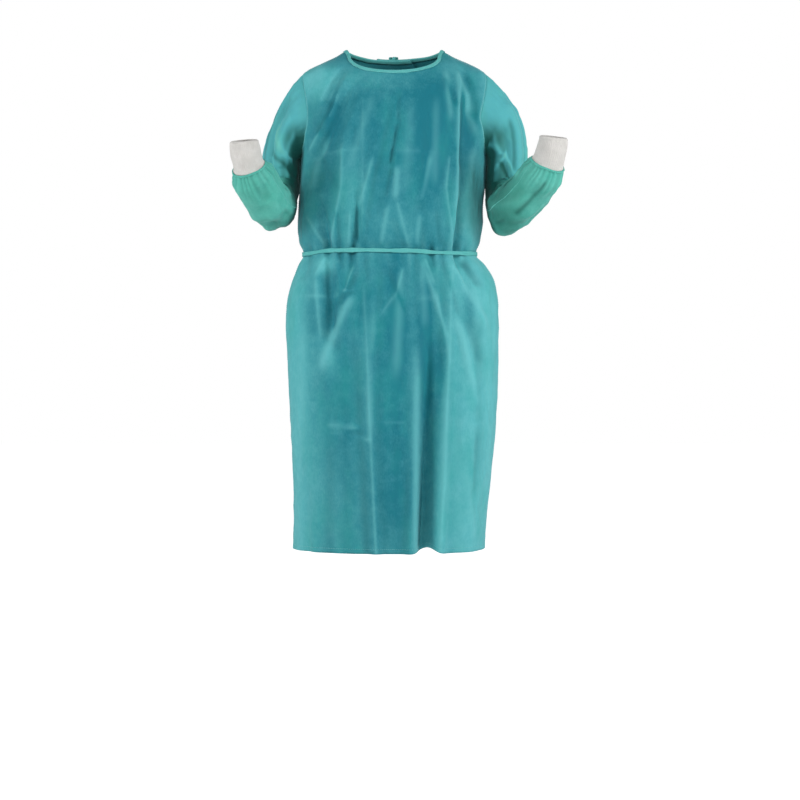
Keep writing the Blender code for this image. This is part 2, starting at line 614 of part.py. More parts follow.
def sleeve_rings(sleeve):
    """The sleeve's rings before its folds, and the rings of the arm that they follow."""
    corners, outs, into = armhole_loop(sleeve.side)
    armhole = with_middles(corners + into * SEAM / 2)
    lining = with_middles(corners + into * SEAM / 2 - outs * CLOTH)
    start = np.array([sleeve.side * sleeve.first_x, sleeve.first_y, sleeve.first_z])
    first = ring_points(start, arm_frame(sleeve), sleeve.across, sleeve.deep)
    arm = follow(start, arm_frame(sleeve), sleeve.stretches, sleeve.side)
    across, deep = widths(sleeve.across, sleeve.deep, arm)
    rings = [armhole, *sleeve_cap(sleeve, armhole, with_middles(into), first), first]
    rings += [ring_points(c, f, a, d) for (c, f, _), a, d in zip(arm, across, deep)]
    return np.array(rings), lining, arm


def sleeve_and_cuff(sleeve, name):
    """A sleeve, and the knitted cuff that is sewn to its end."""
    rings, lining, arm = sleeve_rings(sleeve)
    outs = grid_out(rings)
    outer = rings + outs * crease_depth(sleeve.folds, *rings.shape[:2])[..., None]
    outs = grid_out(outer)
    inner = outer - outs * CLOTH
    inner[0] = lining
    end, frame, last = arm[-1]
    outer[-1] -= frame[2] * SEAM / 2
    inner[-1] = outer[-1] - unit(outer[-1] - end) * CLOTH
    wall(f"sleeve_{name}", outer, inner, "sleeve_cloth", closed=True)

    path = follow(end, frame, sleeve.cuff, sleeve.side)
    across, deep = widths(last.across, last.deep, path)
    cuff = [ring_points(end, frame, last.across, last.deep) + frame[2] * SEAM / 2]
    cuff += [ring_points(c, f, a, d) for (c, f, _), a, d in zip(path, across, deep)]
    cuff = np.array(cuff)
    centres = np.array([end] + [c for c, _, _ in path])[:, None]
    wall(f"cuff_{name}", cuff, cuff - unit(cuff - centres) * KNIT, "cuff_knit", closed=True)


def binding():
    """The strip folded over the neck edge, from the inner back panel round the front to the outer one."""
    stations = []
    for panel in ("back_right", "front", "back_left"):
        points, outs = panel_walls(panel)
        down = unit(points[-2] - points[-1])
        down = unit(down - outs[-1] * np.sum(down * outs[-1], axis=1, keepdims=True))
        run = list(zip(points[-1], outs[-1], down))
        stations += run[1:] if stations else run
    outside = BINDING_CLEAR + BINDING_THICKNESS
    profile = (
        (BINDING_CLEAR, BINDING_DEPTH), (outside, BINDING_DEPTH), (outside, -outside),
        (-CLOTH - outside, -outside), (-CLOTH - outside, BINDING_DEPTH), (-CLOTH - BINDING_CLEAR, BINDING_DEPTH),
        (-CLOTH - BINDING_CLEAR, -BINDING_CLEAR), (BINDING_CLEAR, -BINDING_CLEAR),
    )
    rings = np.array([[p + n * out + d * drop for out, drop in profile] for p, n, d in stations])
    return tube("neck_binding", rings, "tie_cloth")


def tube(name, rings, finish, closed=False):
    """A solid bar through rings of corners, capped at its ends or joined into a loop."""
    count, corners = rings.shape[:2]
    faces = []
    for ring in range(count if closed else count - 1):
        after = (ring + 1) % count
        for corner in range(corners):
            beside = (corner + 1) % corners
            near, far = ring * corners, after * corners
            faces.append((near + corner, near + beside, far + beside))
            faces.append((near + corner, far + beside, far + corner))
    if not closed:
        faces += [list(range(corners)), list(range((count - 1) * corners, count * corners))]
    return solid(name, rings.reshape(-1, 3), faces, finish)


def belt():
    """The waist tie's band, drawn straight across the gathers that it holds."""
    angle = even_angles(-RIGHT_SIDE, RIGHT_SIDE, BELT_STATIONS)[:-1]
    out = facing(form, angle, np.full_like(angle, BELT_LOW))
    out[:, 2] = 0.0
    out = unit(out)
    over = 1.0 - ease((angle - CENTRE_BACK - BACK_LAP - BELT_STEP) / BELT_STEP)
    offset = BELT_CLEAR + lap(angle, "back_left") * over
    rings = []
    for depth, height in ((0, BELT_LOW), (BELT_THICKNESS, BELT_LOW), (BELT_THICKNESS, BELT_HIGH), (0, BELT_HIGH)):
        edge = form(angle, np.full_like(angle, BELT_LOW))
        edge[:, 2] = height
        rings.append(edge + out * (offset + depth)[:, None])
    return tube("belt", np.stack(rings, axis=1), "tie_cloth", closed=True)


def free_end(knot, end):
    """One end of a tie, lying down the back from inside its knot."""
    share = np.linspace(0.0, 1.0, END_STATIONS)
    height = knot.height - share * end.length
    angle = end.top_angle + (end.foot_angle - end.top_angle) * share
    base, out = form(angle, height), facing(form, angle, height)
    rests = [np.sum((gown(angle + d, height) - base) * out, axis=1) for d in (-END_SPREAD, 0.0, END_SPREAD)]
    lift = np.max(rests, axis=0) + OUTER_LAP + END_CLEAR
    lift = np.maximum(lift, knot.lift - 0.5 * TIE - END_DROP * (share * end.length) ** 1.3)
    across = unit(np.cross(out, np.gradient(base, axis=0)))
    rings = []
    for side, layer in ((-1, 0), (1, 0), (1, 1), (-1, 1)):
        rings.append(base + across * (side * knot.tape) + out * (lift + layer * TIE)[:, None])
    return tube(f"{knot.name}_end", np.stack(rings, axis=1), "tie_cloth")


def tie(knot):
    """A knot at the centre back with its two free ends."""
    centre = np.array([CENTRE_BACK]), np.array([knot.height])
    middle = (form(*centre) + facing(form, *centre) * knot.lift)[0]
    bpy.ops.mesh.primitive_uv_sphere_add(segments=KNOT_SEGMENTS, ring_count=KNOT_RINGS, radius=1.0)
    body = bpy.context.object
    body.name = body.data.name = knot.name
    for vertex in body.data.vertices:
        vertex.co = (
            middle[0] + vertex.co.x * knot.wide,
            middle[1] + vertex.co.y * knot.deep,
            middle[2] + vertex.co.z * knot.tall,
        )
    body.data.shade_smooth()
    place(body, "tie_cloth")
    for end in (free_end(knot, knot.first), free_end(knot, knot.second)):
        union = body.modifiers.new("union", "BOOLEAN")
        union.operation = "UNION"
        union.solver = "EXACT"
        union.object = end
        bpy.context.view_layer.objects.active = body
        bpy.ops.object.modifier_apply(modifier=union.name)
        bpy.data.objects.remove(end)
    tidy = bmesh.new()
    tidy.from_mesh(body.data)
    bmesh.ops.remove_doubles(tidy, verts=tidy.verts, dist=SMALLEST_EDGE)
    tidy.to_mesh(body.data)
    tidy.free()


def main():
    """Builds every piece of the gown."""
    body_panel("front", "front_panel")
    body_panel("back_left", "back_panel_left")
    body_panel("back_right", "back_panel_right")
    sleeve_and_cuff(LEFT_SLEEVE, "left")
    sleeve_and_cuff(RIGHT_SLEEVE, "right")
    binding()
    belt()
    tie(NECK_KNOT)
    tie(WAIST_KNOT)


def clear_scene():
    """Removes what the scene starts with."""
    for item in list(bpy.data.objects):
        bpy.data.objects.remove(item)


def make_materials():
    """A plain material for each finish."""
    made = {}
    for name, finish in FINISHES.items():
        material = bpy.data.materials.new(name)
        material.use_nodes = True
        shader = material.node_tree.nodes["Principled BSDF"]
        shader.inputs["Base Color"].default_value = finish.colour
        shader.inputs["Roughness"].default_value = finish.roughness
        shader.inputs["Metallic"].default_value = finish.metallic
        made[name] = material
    return made


clear_scene()
GOWN = bpy.data.collections.new("isolation_gown")
bpy.context.scene.collection.children.link(GOWN)
MATERIALS = make_materials()
main()
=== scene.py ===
"""Dresses the isolation gown: fine non-woven cloth, seams and stitches, bindings, ties and knitted cuffs."""

import logging
import math
from collections.abc import Callable, Sequence
from dataclasses import dataclass, field, replace
from enum import Enum

import bmesh
import bpy
import numpy as np
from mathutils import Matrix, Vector, noise

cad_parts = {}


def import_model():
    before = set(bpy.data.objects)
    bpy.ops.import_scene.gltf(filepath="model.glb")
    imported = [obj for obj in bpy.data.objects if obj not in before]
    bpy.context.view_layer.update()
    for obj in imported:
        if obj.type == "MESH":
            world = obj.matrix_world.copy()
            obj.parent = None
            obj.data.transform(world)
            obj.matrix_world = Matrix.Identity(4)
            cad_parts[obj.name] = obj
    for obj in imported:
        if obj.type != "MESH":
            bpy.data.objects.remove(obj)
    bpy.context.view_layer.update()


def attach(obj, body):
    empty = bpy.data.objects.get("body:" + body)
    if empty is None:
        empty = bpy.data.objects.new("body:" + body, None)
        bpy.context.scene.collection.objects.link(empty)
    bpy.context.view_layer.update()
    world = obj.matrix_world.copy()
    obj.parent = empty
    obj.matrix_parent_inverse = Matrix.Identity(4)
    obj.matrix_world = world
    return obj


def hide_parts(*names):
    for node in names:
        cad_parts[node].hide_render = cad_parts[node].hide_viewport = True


LOG = logging.getLogger("gown")
PER_METRE = 1000
TURN = 2 * math.pi
UP = (0.0, 0.0, 1.0)
WHITE = (1.0, 1.0, 1.0, 1.0)
CLOTH_MAP = "cloth"
PAINTED_HIGHLIGHT_AND_SHADE = "crease"
PAINTED_SHADING = "painted_shading"
TAPE_POINTS = 9
LOOK = {"Color": "Color", "Roughness": "Float", "Height": "Float"}
STITCH_LIFT = 0.0003

Array = np.ndarray
Piece = bpy.types.Object
Material = bpy.types.Material
Node = bpy.types.Node
NodeTree = bpy.types.NodeTree
Socket = bpy.types.NodeSocket
Colour = tuple[float, float, float, float]
Place = tuple[float, float, float]


class Profile(Enum):
    """The section of a fold: a soft roll, or a line pressed in when the gown lay folded in its packet."""

    SOFT = "soft"
    PRESSED = "pressed"


SOFT, PRESSED = Profile.SOFT, Profile.PRESSED


class Side(Enum):
    """A side of the wearer, as its sign along X."""

    LEFT = 1
    RIGHT = -1


@dataclass(frozen=True)
class Level:
    """The plain form of the body at one height: its reach each way, and how square it is."""

    height: float
    left: float
    right: float
    front: float
    back: float
    roundness: float


@dataclass(frozen=True)
class Fold:
    """A fold from its top to its foot. Depth is out of the form if positive, and into it if negative."""

    top_x: float
    top_z: float
    foot_x: float
    foot_z: float
    top_width: float
    foot_width: float
    top_depth: float
    foot_depth: float
    profile: Profile = Profile.SOFT
    fade: float = 0.22


@dataclass(frozen=True)
class Gather:
    """A small pleat that the belt draws in, and how far it runs above and below."""

    x: float
    lean: float
    width: float
    depth: float
    above: float
    below: float


@dataclass(frozen=True)
class Stretch:
    """A stretch of a sleeve: its turn in degrees to an aim (outward, back, up), and its last half widths."""

    length: float
    turn: float
    aim: Place
    rings: int
    across: float
    deep: float


@dataclass(frozen=True)
class Crease:
    """A sleeve's fold, from one angle and share of its length to another. Its width is in degrees."""

    angle: float
    share: float
    end_angle: float
    end_share: float
    width: float
    depth: float


@dataclass(frozen=True)
class Spot:
    """A patch of the front with painted shade, which is painted light where its share is below 0: its middle,
    its reach each way, and how far.
    """

    x: float
    z: float
    wide: float
    tall: float
    share: float


@dataclass(frozen=True)
class Face:
    """The cloth of the body's front or back: its folds, creases and gathers, and how the belt rises on it."""

    folds: tuple[Fold, ...]
    creases: tuple[Fold, ...]
    levels: tuple[Fold, ...]
    gathers: tuple[Gather, ...]
    belt: Array


def table(kind: type, rows: Sequence[Sequence], plain: Sequence[int] = (8, 9)) -> tuple:
    """A table of records in metres from rows in millimetres, apart from the values at the plain places."""
    return tuple(kind(*(v if k in plain else v / PER_METRE for k, v in enumerate(row))) for row in rows)


BODY_LEVELS = table(Level, (
    (-1130, 206, 228, 165, 160, 2.2),
    (-1060, 211, 227, 166, 162, 2.2),
    (-980, 220, 227, 166, 163, 2.2),
    (-880, 229, 231, 164, 163, 2.25),
    (-780, 235, 236, 161, 162, 2.25),
    (-690, 238, 240, 157, 161, 2.3),
    (-600, 238, 243, 151, 157, 2.3),
    (-550, 234, 236, 146, 151, 2.3),
    (-515, 224, 225, 140, 142, 2.3),
    (-488, 207, 214, 132, 130, 2.3),
    (-465.5, 188, 205, 124, 118, 2.3),
    (-453, 188, 205, 124, 118, 2.3),
    (-435, 195, 212, 131, 124, 2.3),
    (-405, 198, 214, 137, 128, 2.35),
    (-360, 200, 212, 140, 130, 2.4),
    (-300, 204, 208, 138, 129, 2.4),
    (-242, 208, 206, 133, 125, 2.4),
    (-180, 216, 210, 122, 118, 2.35),
    (-120, 219, 212, 102, 106, 2.3),
    (-75, 214, 209, 80, 90, 2.2),
    (-50, 203, 200, 66, 78, 2.1),
    (-31, 170, 163, 54, 66, 2.05),
    (-15, 135, 130, 42, 55, 2),
    (0, 110, 107, 30, 42, 2),
    (12, 90, 87, 20, 31, 2),
), plain=(5,))

# The main folds, which the solids have too: the skirt's, from the wearer's right, and then the bodice's.
FRONT_FOLDS = table(Fold, (
    (-197, -440, -204, -530, 9, 12, -6, -4), (-182, -560, -184, -1200, 18, 22, 4, 6),
    (-165, -452, -190, -640, 10, 20, 4, 7), (-145, -466, -136, -700, 10, 18, -15, -16),
    (-118, -446, -116, -530, 8, 9, -6, -3), (-92, -520, -165, -800, 14, 22, 6, 7),
    (-90, -445, -110, -560, 9, 12, -10, -4), (-64, -640, -32, -1250, 12, 14, 4, 8),
    (-50, -452, -46, -620, 12, 20, 4, 4), (-12, -446, -16, -600, 10, 16, -6, -3),
    (38, -440, 46, -640, 10, 14, -8, -4), (46, -640, 36, -1250, 14, 15, 4, 14),
    (70, -450, 124, -700, 10, 12, 4, 8), (86, -446, 88, -500, 9, 10, -8, -5),
    (82, -560, 66, -1300, 13, 18, -6, -60), (128, -560, 96, -1250, 12, 14, 8, 15),
    (120, -452, 208, -660, 10, 14, 4, 12), (138, -440, 178, -600, 10, 13, -16, -10),
    (160, -700, 164, -1250, 18, 24, 3, 8), (-190, -950, -192, -1250, 10, 13, -4, -10),
    (-118, -40, -156, -135, 10, 11, -8, -7), (-94, -45, -160, -215, 11, 13, 6, 8),
    (-100, -80, -176, -270, 13, 14, -12, -18), (-166, -330, -145, -475, 14, 10, -8, -16),
    (-110, -200, -112, -340, 12, 14, 8, 3), (-78, -300, -86, -475, 11, 10, -6, -12),
    (16, -130, -56, -420, 14, 16, -5, -7), (4, -370, 36, -470, 12, 10, 5, 5),
    (60, -330, 62, -480, 14, 10, -4, -8), (118, -45, 116, -220, 10, 12, 5, 3),
    (147, -60, 130, -475, 11, 11, 8, 10), (150, -30, 192, -180, 11, 15, -7, -10),
    (170, -100, 160, -290, 20, 20, -16, -12), (158, -320, 140, -475, 14, 11, -8, -18),
))
BACK_FOLDS = table(Fold, (
    (-172, -430, -186, -640, 11, 20, -12, -6), (-140, -452, -160, -1250, 12, 22, 6, 14),
    (-112, -435, -116, -1250, 11, 24, -14, -24), (-78, -440, -80, -780, 10, 16, -8, -4),
    (-46, -452, -70, -1250, 12, 22, 5, 12), (-16, -440, -20, -660, 10, 16, -8, -4),
    (20, -445, 30, -1250, 12, 26, -6, -16), (52, -445, 56, -600, 10, 15, -9, -4),
    (80, -452, 82, -1250, 13, 22, 6, 14), (112, -435, 130, -1250, 11, 24, -14, -26),
    (150, -445, 166, -700, 11, 18, -12, -6), (-120, -40, -170, -260, 12, 16, -7, -14),
    (-130, -260, -112, -480, 14, 11, 6, -14), (-60, -200, -40, -475, 18, 11, -3, -12),
    (-10, -300, -4, -475, 14, 10, 4, -8), (50, -240, 52, -475, 16, 10, -3, -12),
    (120, -40, 176, -260, 12, 16, -7, -14), (128, -280, 112, -480, 14, 11, 5, -15),
))

# Fine creases, which only the dressed cloth has: those pressed in by the packet, drag lines and ripples.
FRONT_CREASES = table(Fold, (
    (-67, -500, -34, -1200, 5, 5.5, 1.2, 2.4, PRESSED, 0.1),
    (134, -440, 94, -1200, 5, 6, 2, 3, PRESSED, 0.08),
    (148, -40, 132, -480, 5, 5, 4.8, 3.4, PRESSED, 0.08),
    (-68, -80, -68, -460, 4.5, 5, 0.7, 0.9, PRESSED, 0.2),
    (136, -200, 120, -440, 9, 9, -0.8, -1.6, SOFT, 0.15),
    (160, -80, 147, -450, 8, 8, -2.6, -3.6, SOFT, 0.15),
    (-86, -640, -52, -1220, 11, 12, -1.6, -3, SOFT, 0.12),
    (-44, -640, -14, -1220, 11, 12, -1.2, -2.4, SOFT, 0.12),
    (112, -500, 80, -1220, 9, 10, -2, -2, SOFT, 0.12),
    (-112, -60, -148, -150, 5, 6, -1.6, -1.4),
    (-128, -85, -168, -185, 6, 7, 1.6, 1.8),
    (-74, -85, -140, -250, 7, 8, -1.2, -1.6),
    (-40, -95, -104, -300, 9, 11, 1.1, 1.2),
    (-150, -200, -186, -330, 8, 9, 2, 1.6),
    (-166, -235, -120, -330, 7, 8, -1.4, -1),
    (0, -120, -36, -300, 6, 8, -1.4, -2),
    (-30, -240, -64, -420, 6, 7, -1.8, -2),
    (40, -110, 24, -350, 10, 12, 1, 0.8),
    (75, -150, 60, -400, 9, 11, -1, -1.2),
    (96, -100, 90, -330, 8, 9, 1, 1.2),
    (108, -60, 150, -150, 6, 8, -1.4, -1.4),
    (160, -80, 190, -210, 6, 8, 1.8, 1.6),
    (184, -220, 166, -350, 7, 8, 2, 1.6),
    (-10, -350, -30, -455, 6, 6, 1.6, 2.2),
    (-128, -360, -118, -455, 6, 6, -1.8, -2.6),
    (96, -360, 104, -455, 6, 6, -1.6, -2.6),
    (20, -470, 4, -760, 8, 12, 1.6, 1.6),
    (-24, -480, -40, -740, 7, 10, -1.4, -1),
    (62, -470, 70, -640, 7, 9, 1.6, 1.2),
    (104, -460, 150, -620, 6, 8, -2.2, -2),
    (146, -470, 196, -590, 6, 7, 2, 2),
    (100, -700, 112, -1050, 12, 14, 1.6, 1.8),
    (186, -560, 196, -1000, 10, 12, -2, -1.4),
    (148, -780, 142, -1180, 10, 12, 0.6, 1),
    (6, -780, 0, -1200, 14, 16, -0.8, -1.4),
    (-110, -720, -104, -1200, 14, 16, -0.6, -1),
    (-140, -840, -144, -1200, 12, 14, -1.4, -2.4),
    (-200, -600, -206, -900, 12, 14, 1.6, 1.6),
    (-160, -500, -128, -640, 7, 8, -1.8, -1.6),
    (36, -900, 20, -1180, 9, 11, -1.2, -2.6),
    (-112, -215, -115, -330, 4.5, 5.5, 1.8, 2.4, PRESSED),
    (-114, -305, -142, -455, 5, 4.5, 2.4, 2.6, PRESSED),
    (-42, -240, -80, -375, 5.5, 6.5, 2, 2.2, PRESSED),
    (-96, -365, -99, -455, 4.5, 4.5, 2.2, 2.8, PRESSED),
    (9, -265, 4, -350, 8, 8, 2.4, 2.6),
    (5, -340, 36, -455, 5.5, 5, 2.2, 2.2, PRESSED),
    (84, -235, 59, -365, 7.5, 6.5, 2.2, 1.8),
    (125, -240, 115, -330, 5.5, 5.5, 1.8, 2.4, PRESSED),
    (115, -305, 132, -455, 4.5, 4.5, 2.6, 3, PRESSED),
    (-118, -98, -147, -168, 4.5, 5.5, 2.2, 3, PRESSED),
    (-142, -150, -192, -242, 5, 5.5, 3, 2.4, PRESSED),
    (-132, -110, -172, -205, 10, 11, -4, -4.4),
    (-125, -46, -166, -128, 4, 5, 2, 2.4, PRESSED),
    (140, -50, 186, -150, 9, 10, 2, 2.2),
    (-196, -372, -150, -455, 4.5, 4.5, 2.6, 2.6, PRESSED),
    (60, -370, 50, -455, 6, 6, 1.6, 2.2),
    (-152, -470, -172, -520, 5, 6, 2.6, 2.4, PRESSED),
    (-172, -505, -160, -670, 5, 6, 2.4, 2, PRESSED),
    (-131, -625, -160, -730, 8, 12, 3, 2.6),
    (24, -490, 2, -570, 5, 6, 1.8, 1.8, PRESSED),
    (4, -555, -38, -615, 6, 6, 1.8, 1.4, PRESSED),
    (-20, -485, 30, -600, 6, 7, -1.8, -1.6),
    (68, -472, 92, -540, 5, 5.5, 2, 2.4, PRESSED),
    (90, -530, 128, -730, 5, 6, 2.4, 2, PRESSED),
    (134, -492, 168, -560, 4.5, 5, 2.6, 3.2, PRESSED),
    (166, -552, 212, -632, 5, 5.5, 3.2, 2.4, PRESSED),
    (146, -610, 168, -725, 8, 9, 2.2, 2.2),
    (166, -715, 190, -810, 7, 8, 2.4, 2, PRESSED),
    (156, -930, 178, -1120, 8, 9, 2, 1.8),
    (188, -850, 178, -1020, 7, 7, -2, -1.8),
    (116, -40, 128, -180, 7, 7, 2.4, 1.6),
    (13, -100, 10, -176, 4, 4, -1.8, -2.4),
    (10, -168, -8, -276, 4, 4, -3, -5),
    (-4, -268, -20, -350, 5, 6, -3.4, -1.6),
    (-81, -350, -83, -448, 4, 4, -3, -5),
    (140, -345, 135, -448, 4.5, 6, -2.6, -4),
    (-88, -552, -142, -664, 10, 12, 2.6, 3),
    (-80, -500, -128, -590, 10, 10, -1.8, -2.2),
    (-86, -480, -112, -560, 5, 5, 2.6, 2.6, PRESSED),
    (132, -486, 216, -628, 5.5, 7, 3, 3),
    (150, -470, 196, -545, 11, 12, -4, -3),
    (134, -590, 182, -780, 7, 9, 3, 2.2),
    (160, -600, 200, -720, 12, 12, -2.4, -1.8),
    (66, -486, 124, -670, 4.5, 5.5, 2.2, 2.2),
    (-40, -560, -52, -900, 10, 12, 1.6, 1.4),
    (52, -640, 50, -1200, 10, 10, 2.4, 3.4),
))
BACK_CREASES = table(Fold, (
    (-132, -60, -128, -1200, 5, 6, 1.6, 2.4, PRESSED, 0.05),
    (130, -60, 126, -1200, 5, 6, 1.6, 2.4, PRESSED, 0.05),
    (-66, -80, -30, -300, 9, 11, -1.4, -1.6),
    (64, -80, 36, -300, 9, 11, -1.4, -1.6),
    (-150, -90, -100, -330, 7, 9, 1.8, 1.4),
    (150, -90, 104, -330, 7, 9, 1.8, 1.4),
    (-176, -230, -120, -420, 7, 8, -1.8, -1.4),
    (178, -230, 118, -420, 7, 8, -1.8, -1.4),
    (-20, -120, -44, -400, 10, 12, 1, 1.2),
    (30, -140, 24, -400, 10, 12, 1, 1.2),
    (-96, -470, -104, -760, 8, 11, 2, 1.4),
    (-60, -470, -58, -700, 7, 10, 1.8, 1.2),
    (-30, -470, -40, -780, 8, 11, -1.8, -1.4),
    (2, -470, 4, -820, 8, 12, 1.8, 1.6),
    (36, -470, 48, -740, 7, 10, 1.8, 1.2),
    (66, -470, 66, -700, 7, 10, -1.6, -1.2),
    (98, -470, 108, -760, 8, 11, 2, 1.4),
    (136, -470, 150, -660, 7, 9, -2, -1.4),
    (-160, -800, -176, -1200, 11, 13, -1.6, -2.4),
    (-88, -860, -92, -1200, 12, 14, 1.4, 2.6),
    (-14, -840, -16, -1200, 13, 16, 1.4, 2.4),
    (54, -900, 58, -1200, 11, 13, 1.4, 2.2),
    (110, -840, 106, -1200, 11, 13, 1.6, 2.6),
    (168, -760, 182, -1200, 12, 14, -1.6, -2.4),
))
# Level creases from the packet: each is stated from one side to the other, and its width is up and down.
FRONT_LEVELS = table(Fold, (
    (-212, -562, -92, -555, 5, 6, 1.6, 1.2, PRESSED, 0.2),
    (-148, -864, -80, -858, 5, 5, 1.2, 0.9, PRESSED, 0.3),
    (-26, -860, 32, -864, 5, 5, 1, 0.8, PRESSED, 0.3),
    (150, -846, 204, -842, 5, 6, 1.4, 1.2, PRESSED, 0.3),
    (-180, -244, -60, -232, 8, 8, 0.8, 0.6, PRESSED, 0.3),
    (-20, -236, 110, -240, 8, 8, 0.7, 0.7, PRESSED, 0.3),
    (40, -566, 130, -560, 7, 7, 0.9, 0.7, PRESSED, 0.3),
    (-118, -548, -78, -542, 3.5, 3.5, 2.2, 2, PRESSED, 0.3),
    (-122, -557, -80, -552, 3.5, 3.5, -2.2, -2, SOFT, 0.3),
    (-152, -845, -60, -852, 8, 10, 2, 2.4, PRESSED, 0.2),
    (-92, -868, -40, -880, 8, 8, 2.2, 1.6, PRESSED, 0.3),
    (-50, -842, 36, -838, 4.5, 4.5, 1.6, 1.4, PRESSED, 0.3),
    (-110, -858, -60, -864, 6, 6, -1.6, -1.4, SOFT, 0.3),
))
BACK_LEVELS = table(Fold, (
    (-190, -560, -60, -556, 6, 6, 1.2, 0.9, PRESSED, 0.3),
    (40, -558, 180, -562, 6, 6, 1.2, 1.2, PRESSED, 0.3),
    (-170, -862, -20, -858, 6, 6, 1.2, 1, PRESSED, 0.3),
    (30, -860, 190, -864, 6, 6, 1, 1.2, PRESSED, 0.3),
    (-170, -246, 0, -240, 8, 8, 0.9, 0.7, PRESSED, 0.3),
    (20, -240, 170, -246, 8, 8, 0.7, 0.9, PRESSED, 0.3),
))
FRONT_GATHERS = table(Gather, (
    (-188, -0.06, 5, -3, 30, 34), (-174, -0.04, 4.6, 2, 26, 40), (-158, -0.02, 4.4, 1.6, 34, 30),
    (-147, 0.02, 4.6, -2.8, 30, 52), (-133, 0.04, 4.8, 2.2, 42, 46), (-120, 0, 4.2, -2.6, 24, 36),
    (-105, -0.05, 4.6, 1.8, 30, 50), (-90, -0.03, 4.4, -2.8, 44, 48), (-77, 0.02, 4.6, 1.8, 26, 34),
    (-65, 0.03, 4.2, -2.2, 36, 56), (-47, 0, 5.2, 1.4, 22, 42), (-30, -0.04, 4.6, -1.4, 30, 28),
    (-14, 0, 5, 1.3, 18, 36), (4, 0.03, 4.6, -1.4, 26, 32), (21, 0, 4.4, -2.2, 30, 50),
    (36, 0.04, 4.8, 1.8, 22, 44), (50, 0, 4.4, -2.6, 34, 54), (67, 0.05, 4.8, 1.8, 28, 40),
    (84, 0.04, 4.4, -2.8, 32, 36), (96, 0.06, 4.4, 2, 24, 52), (109, 0.08, 4.2, -2.6, 36, 44),
    (124, 0.02, 4.4, 2.2, 48, 50), (141, 0.06, 4.4, -3.4, 46, 58), (151, 0.1, 4.2, 2, 30, 40),
    (160, 0.14, 4, -2.6, 28, 46), (173, 0.1, 4.4, 2, 34, 36),
), plain=(1,))
BACK_GATHERS = table(Gather, (
    (-180, -0.06, 4.8, 2, 30, 42), (-166, -0.04, 4.4, -2.8, 28, 36), (-150, -0.02, 4.6, 2, 40, 52),
    (-136, 0.02, 4.4, -2.6, 26, 40), (-122, -0.03, 4.6, 1.8, 34, 34), (-106, 0, 4.4, -3, 44, 56),
    (-90, -0.02, 4.6, 2, 26, 38), (-76, 0.02, 4.2, -2.4, 34, 46), (-60, 0, 4.8, 1.8, 22, 50),
    (-44, -0.02, 4.4, -2.4, 30, 34), (-29, 0, 4.6, 1.8, 28, 44), (-13, 0.02, 4.2, -2.6, 36, 52),
    (2, 0, 4.6, 1.8, 24, 36), (18, 0.02, 4.4, -2.4, 32, 48), (34, 0, 4.6, 2, 26, 40),
    (48, 0.03, 4.4, -2.8, 40, 54), (64, 0, 4.6, 1.8, 24, 36), (78, 0.02, 4.4, -2.4, 34, 42),
    (94, 0.04, 4.6, 2, 28, 50), (110, 0.02, 4.4, -3, 44, 56), (125, 0.04, 4.6, 2, 26, 36),
    (140, 0.06, 4.4, -2.6, 32, 44), (156, 0.05, 4.6, 2, 30, 40), (170, 0.08, 4.4, -2.6, 26, 36),
), plain=(1,))
# The belt's height over its straight line, at places across the front and the back.
BELT_PLACES = np.array((-200, -190, -155, -62, 13, 44, 95, 139, 177, 190)) / PER_METRE
FRONT_BELT = np.array((-3.6, -4.2, 2.2, 2.6, 0.8, 1.2, -3.2, -3.0, -3.4, -2.0)) / PER_METRE
BACK_BELT = np.array((-3.6, -2.0, 0.4, 2.2, 0.6, 1.0, 1.8, -0.6, -2.4, -2.0)) / PER_METRE
FRONT = Face(FRONT_FOLDS, FRONT_CREASES, FRONT_LEVELS, FRONT_GATHERS, FRONT_BELT)
BACK = Face(BACK_FOLDS, BACK_CREASES, BACK_LEVELS, BACK_GATHERS, BACK_BELT)
# How far the slack cloth of a sleeve bellies towards the body, at drops down its inner side.
SLACK_DROPS = np.array((226, 238, 250, 270, 300, 340, 380, 405, 430)) / PER_METRE
SLACK = np.array((0, 16, 18, 18, 19, 19, 18, 12, 0)) / PER_METRE
# Painted shade: how far the cloth is painted darker over the hollow behind it, at places across it, in
# millimetres, then in spots; below 0 it is painted lighter, as painted light.
SHADING_PLACES = (-240, -210, -180, -147, -107, -67, -30, 8, 41, 70, 104, 137, 170, 210, 240)
SKIRT_SHADING = (-0.2, 0.05, 0.45, 0.85, 1.0, 0.7, 0.95, 1.1, 0.85, 0.75, 0.75, 0.2, 0.05, -0.3, -0.3)
BODICE_SHADING = (0.2, 0.5, 0.7, 0.9, 0.85, 1.0, 0.95, 1.0, 1.0, 1.1, 1.1, 1.0, 1.1, 0.4, 0.2)
SHADING_SPOTS = table(Spot, (
    (172, -155, 26, 50, 0.5), (-130, -160, 18, 60, 0.35), (92, -190, 24, 80, 0.3),
    (-175, -190, 22, 60, 0.15), (20, -400, 90, 55, -0.28), (125, -400, 50, 80, -0.3),
    (178, -375, 24, 85, -1.5), (144, -360, 16, 60, -0.4), (-85, -330, 30, 70, -0.4),
    (-175, -70, 50, 45, -1), (-60, -70, 110, 30, -0.35), (140, -40, 60, 35, -0.45),
    (-150, -488, 20, 20, -1), (-67, -570, 16, 70, 0.4), (10, -640, 16, 80, 0.4),
    (72, -670, 15, 150, 0.75), (104, -720, 13, 60, 0.45), (170, -590, 16, 50, 0.65),
    (-180, -600, 18, 50, 0.35), (-132, -1040, 34, 160, -0.35), (-145, -690, 16, 40, -0.6),
    (104, -1080, 16, 130, -0.7), (70, -1160, 18, 110, -0.55), (0, -1140, 40, 60, -0.45),
), plain=(4,))


def unit(vectors: Array) -> Array:
    """The vectors at length 1."""
    return vectors / np.maximum(np.linalg.norm(vectors, axis=-1, keepdims=True), 1e-12)


def turns(count: int) -> Array:
    """Angles in radians, evenly round a circle."""
    return np.linspace(0.0, TURN, count, endpoint=False)


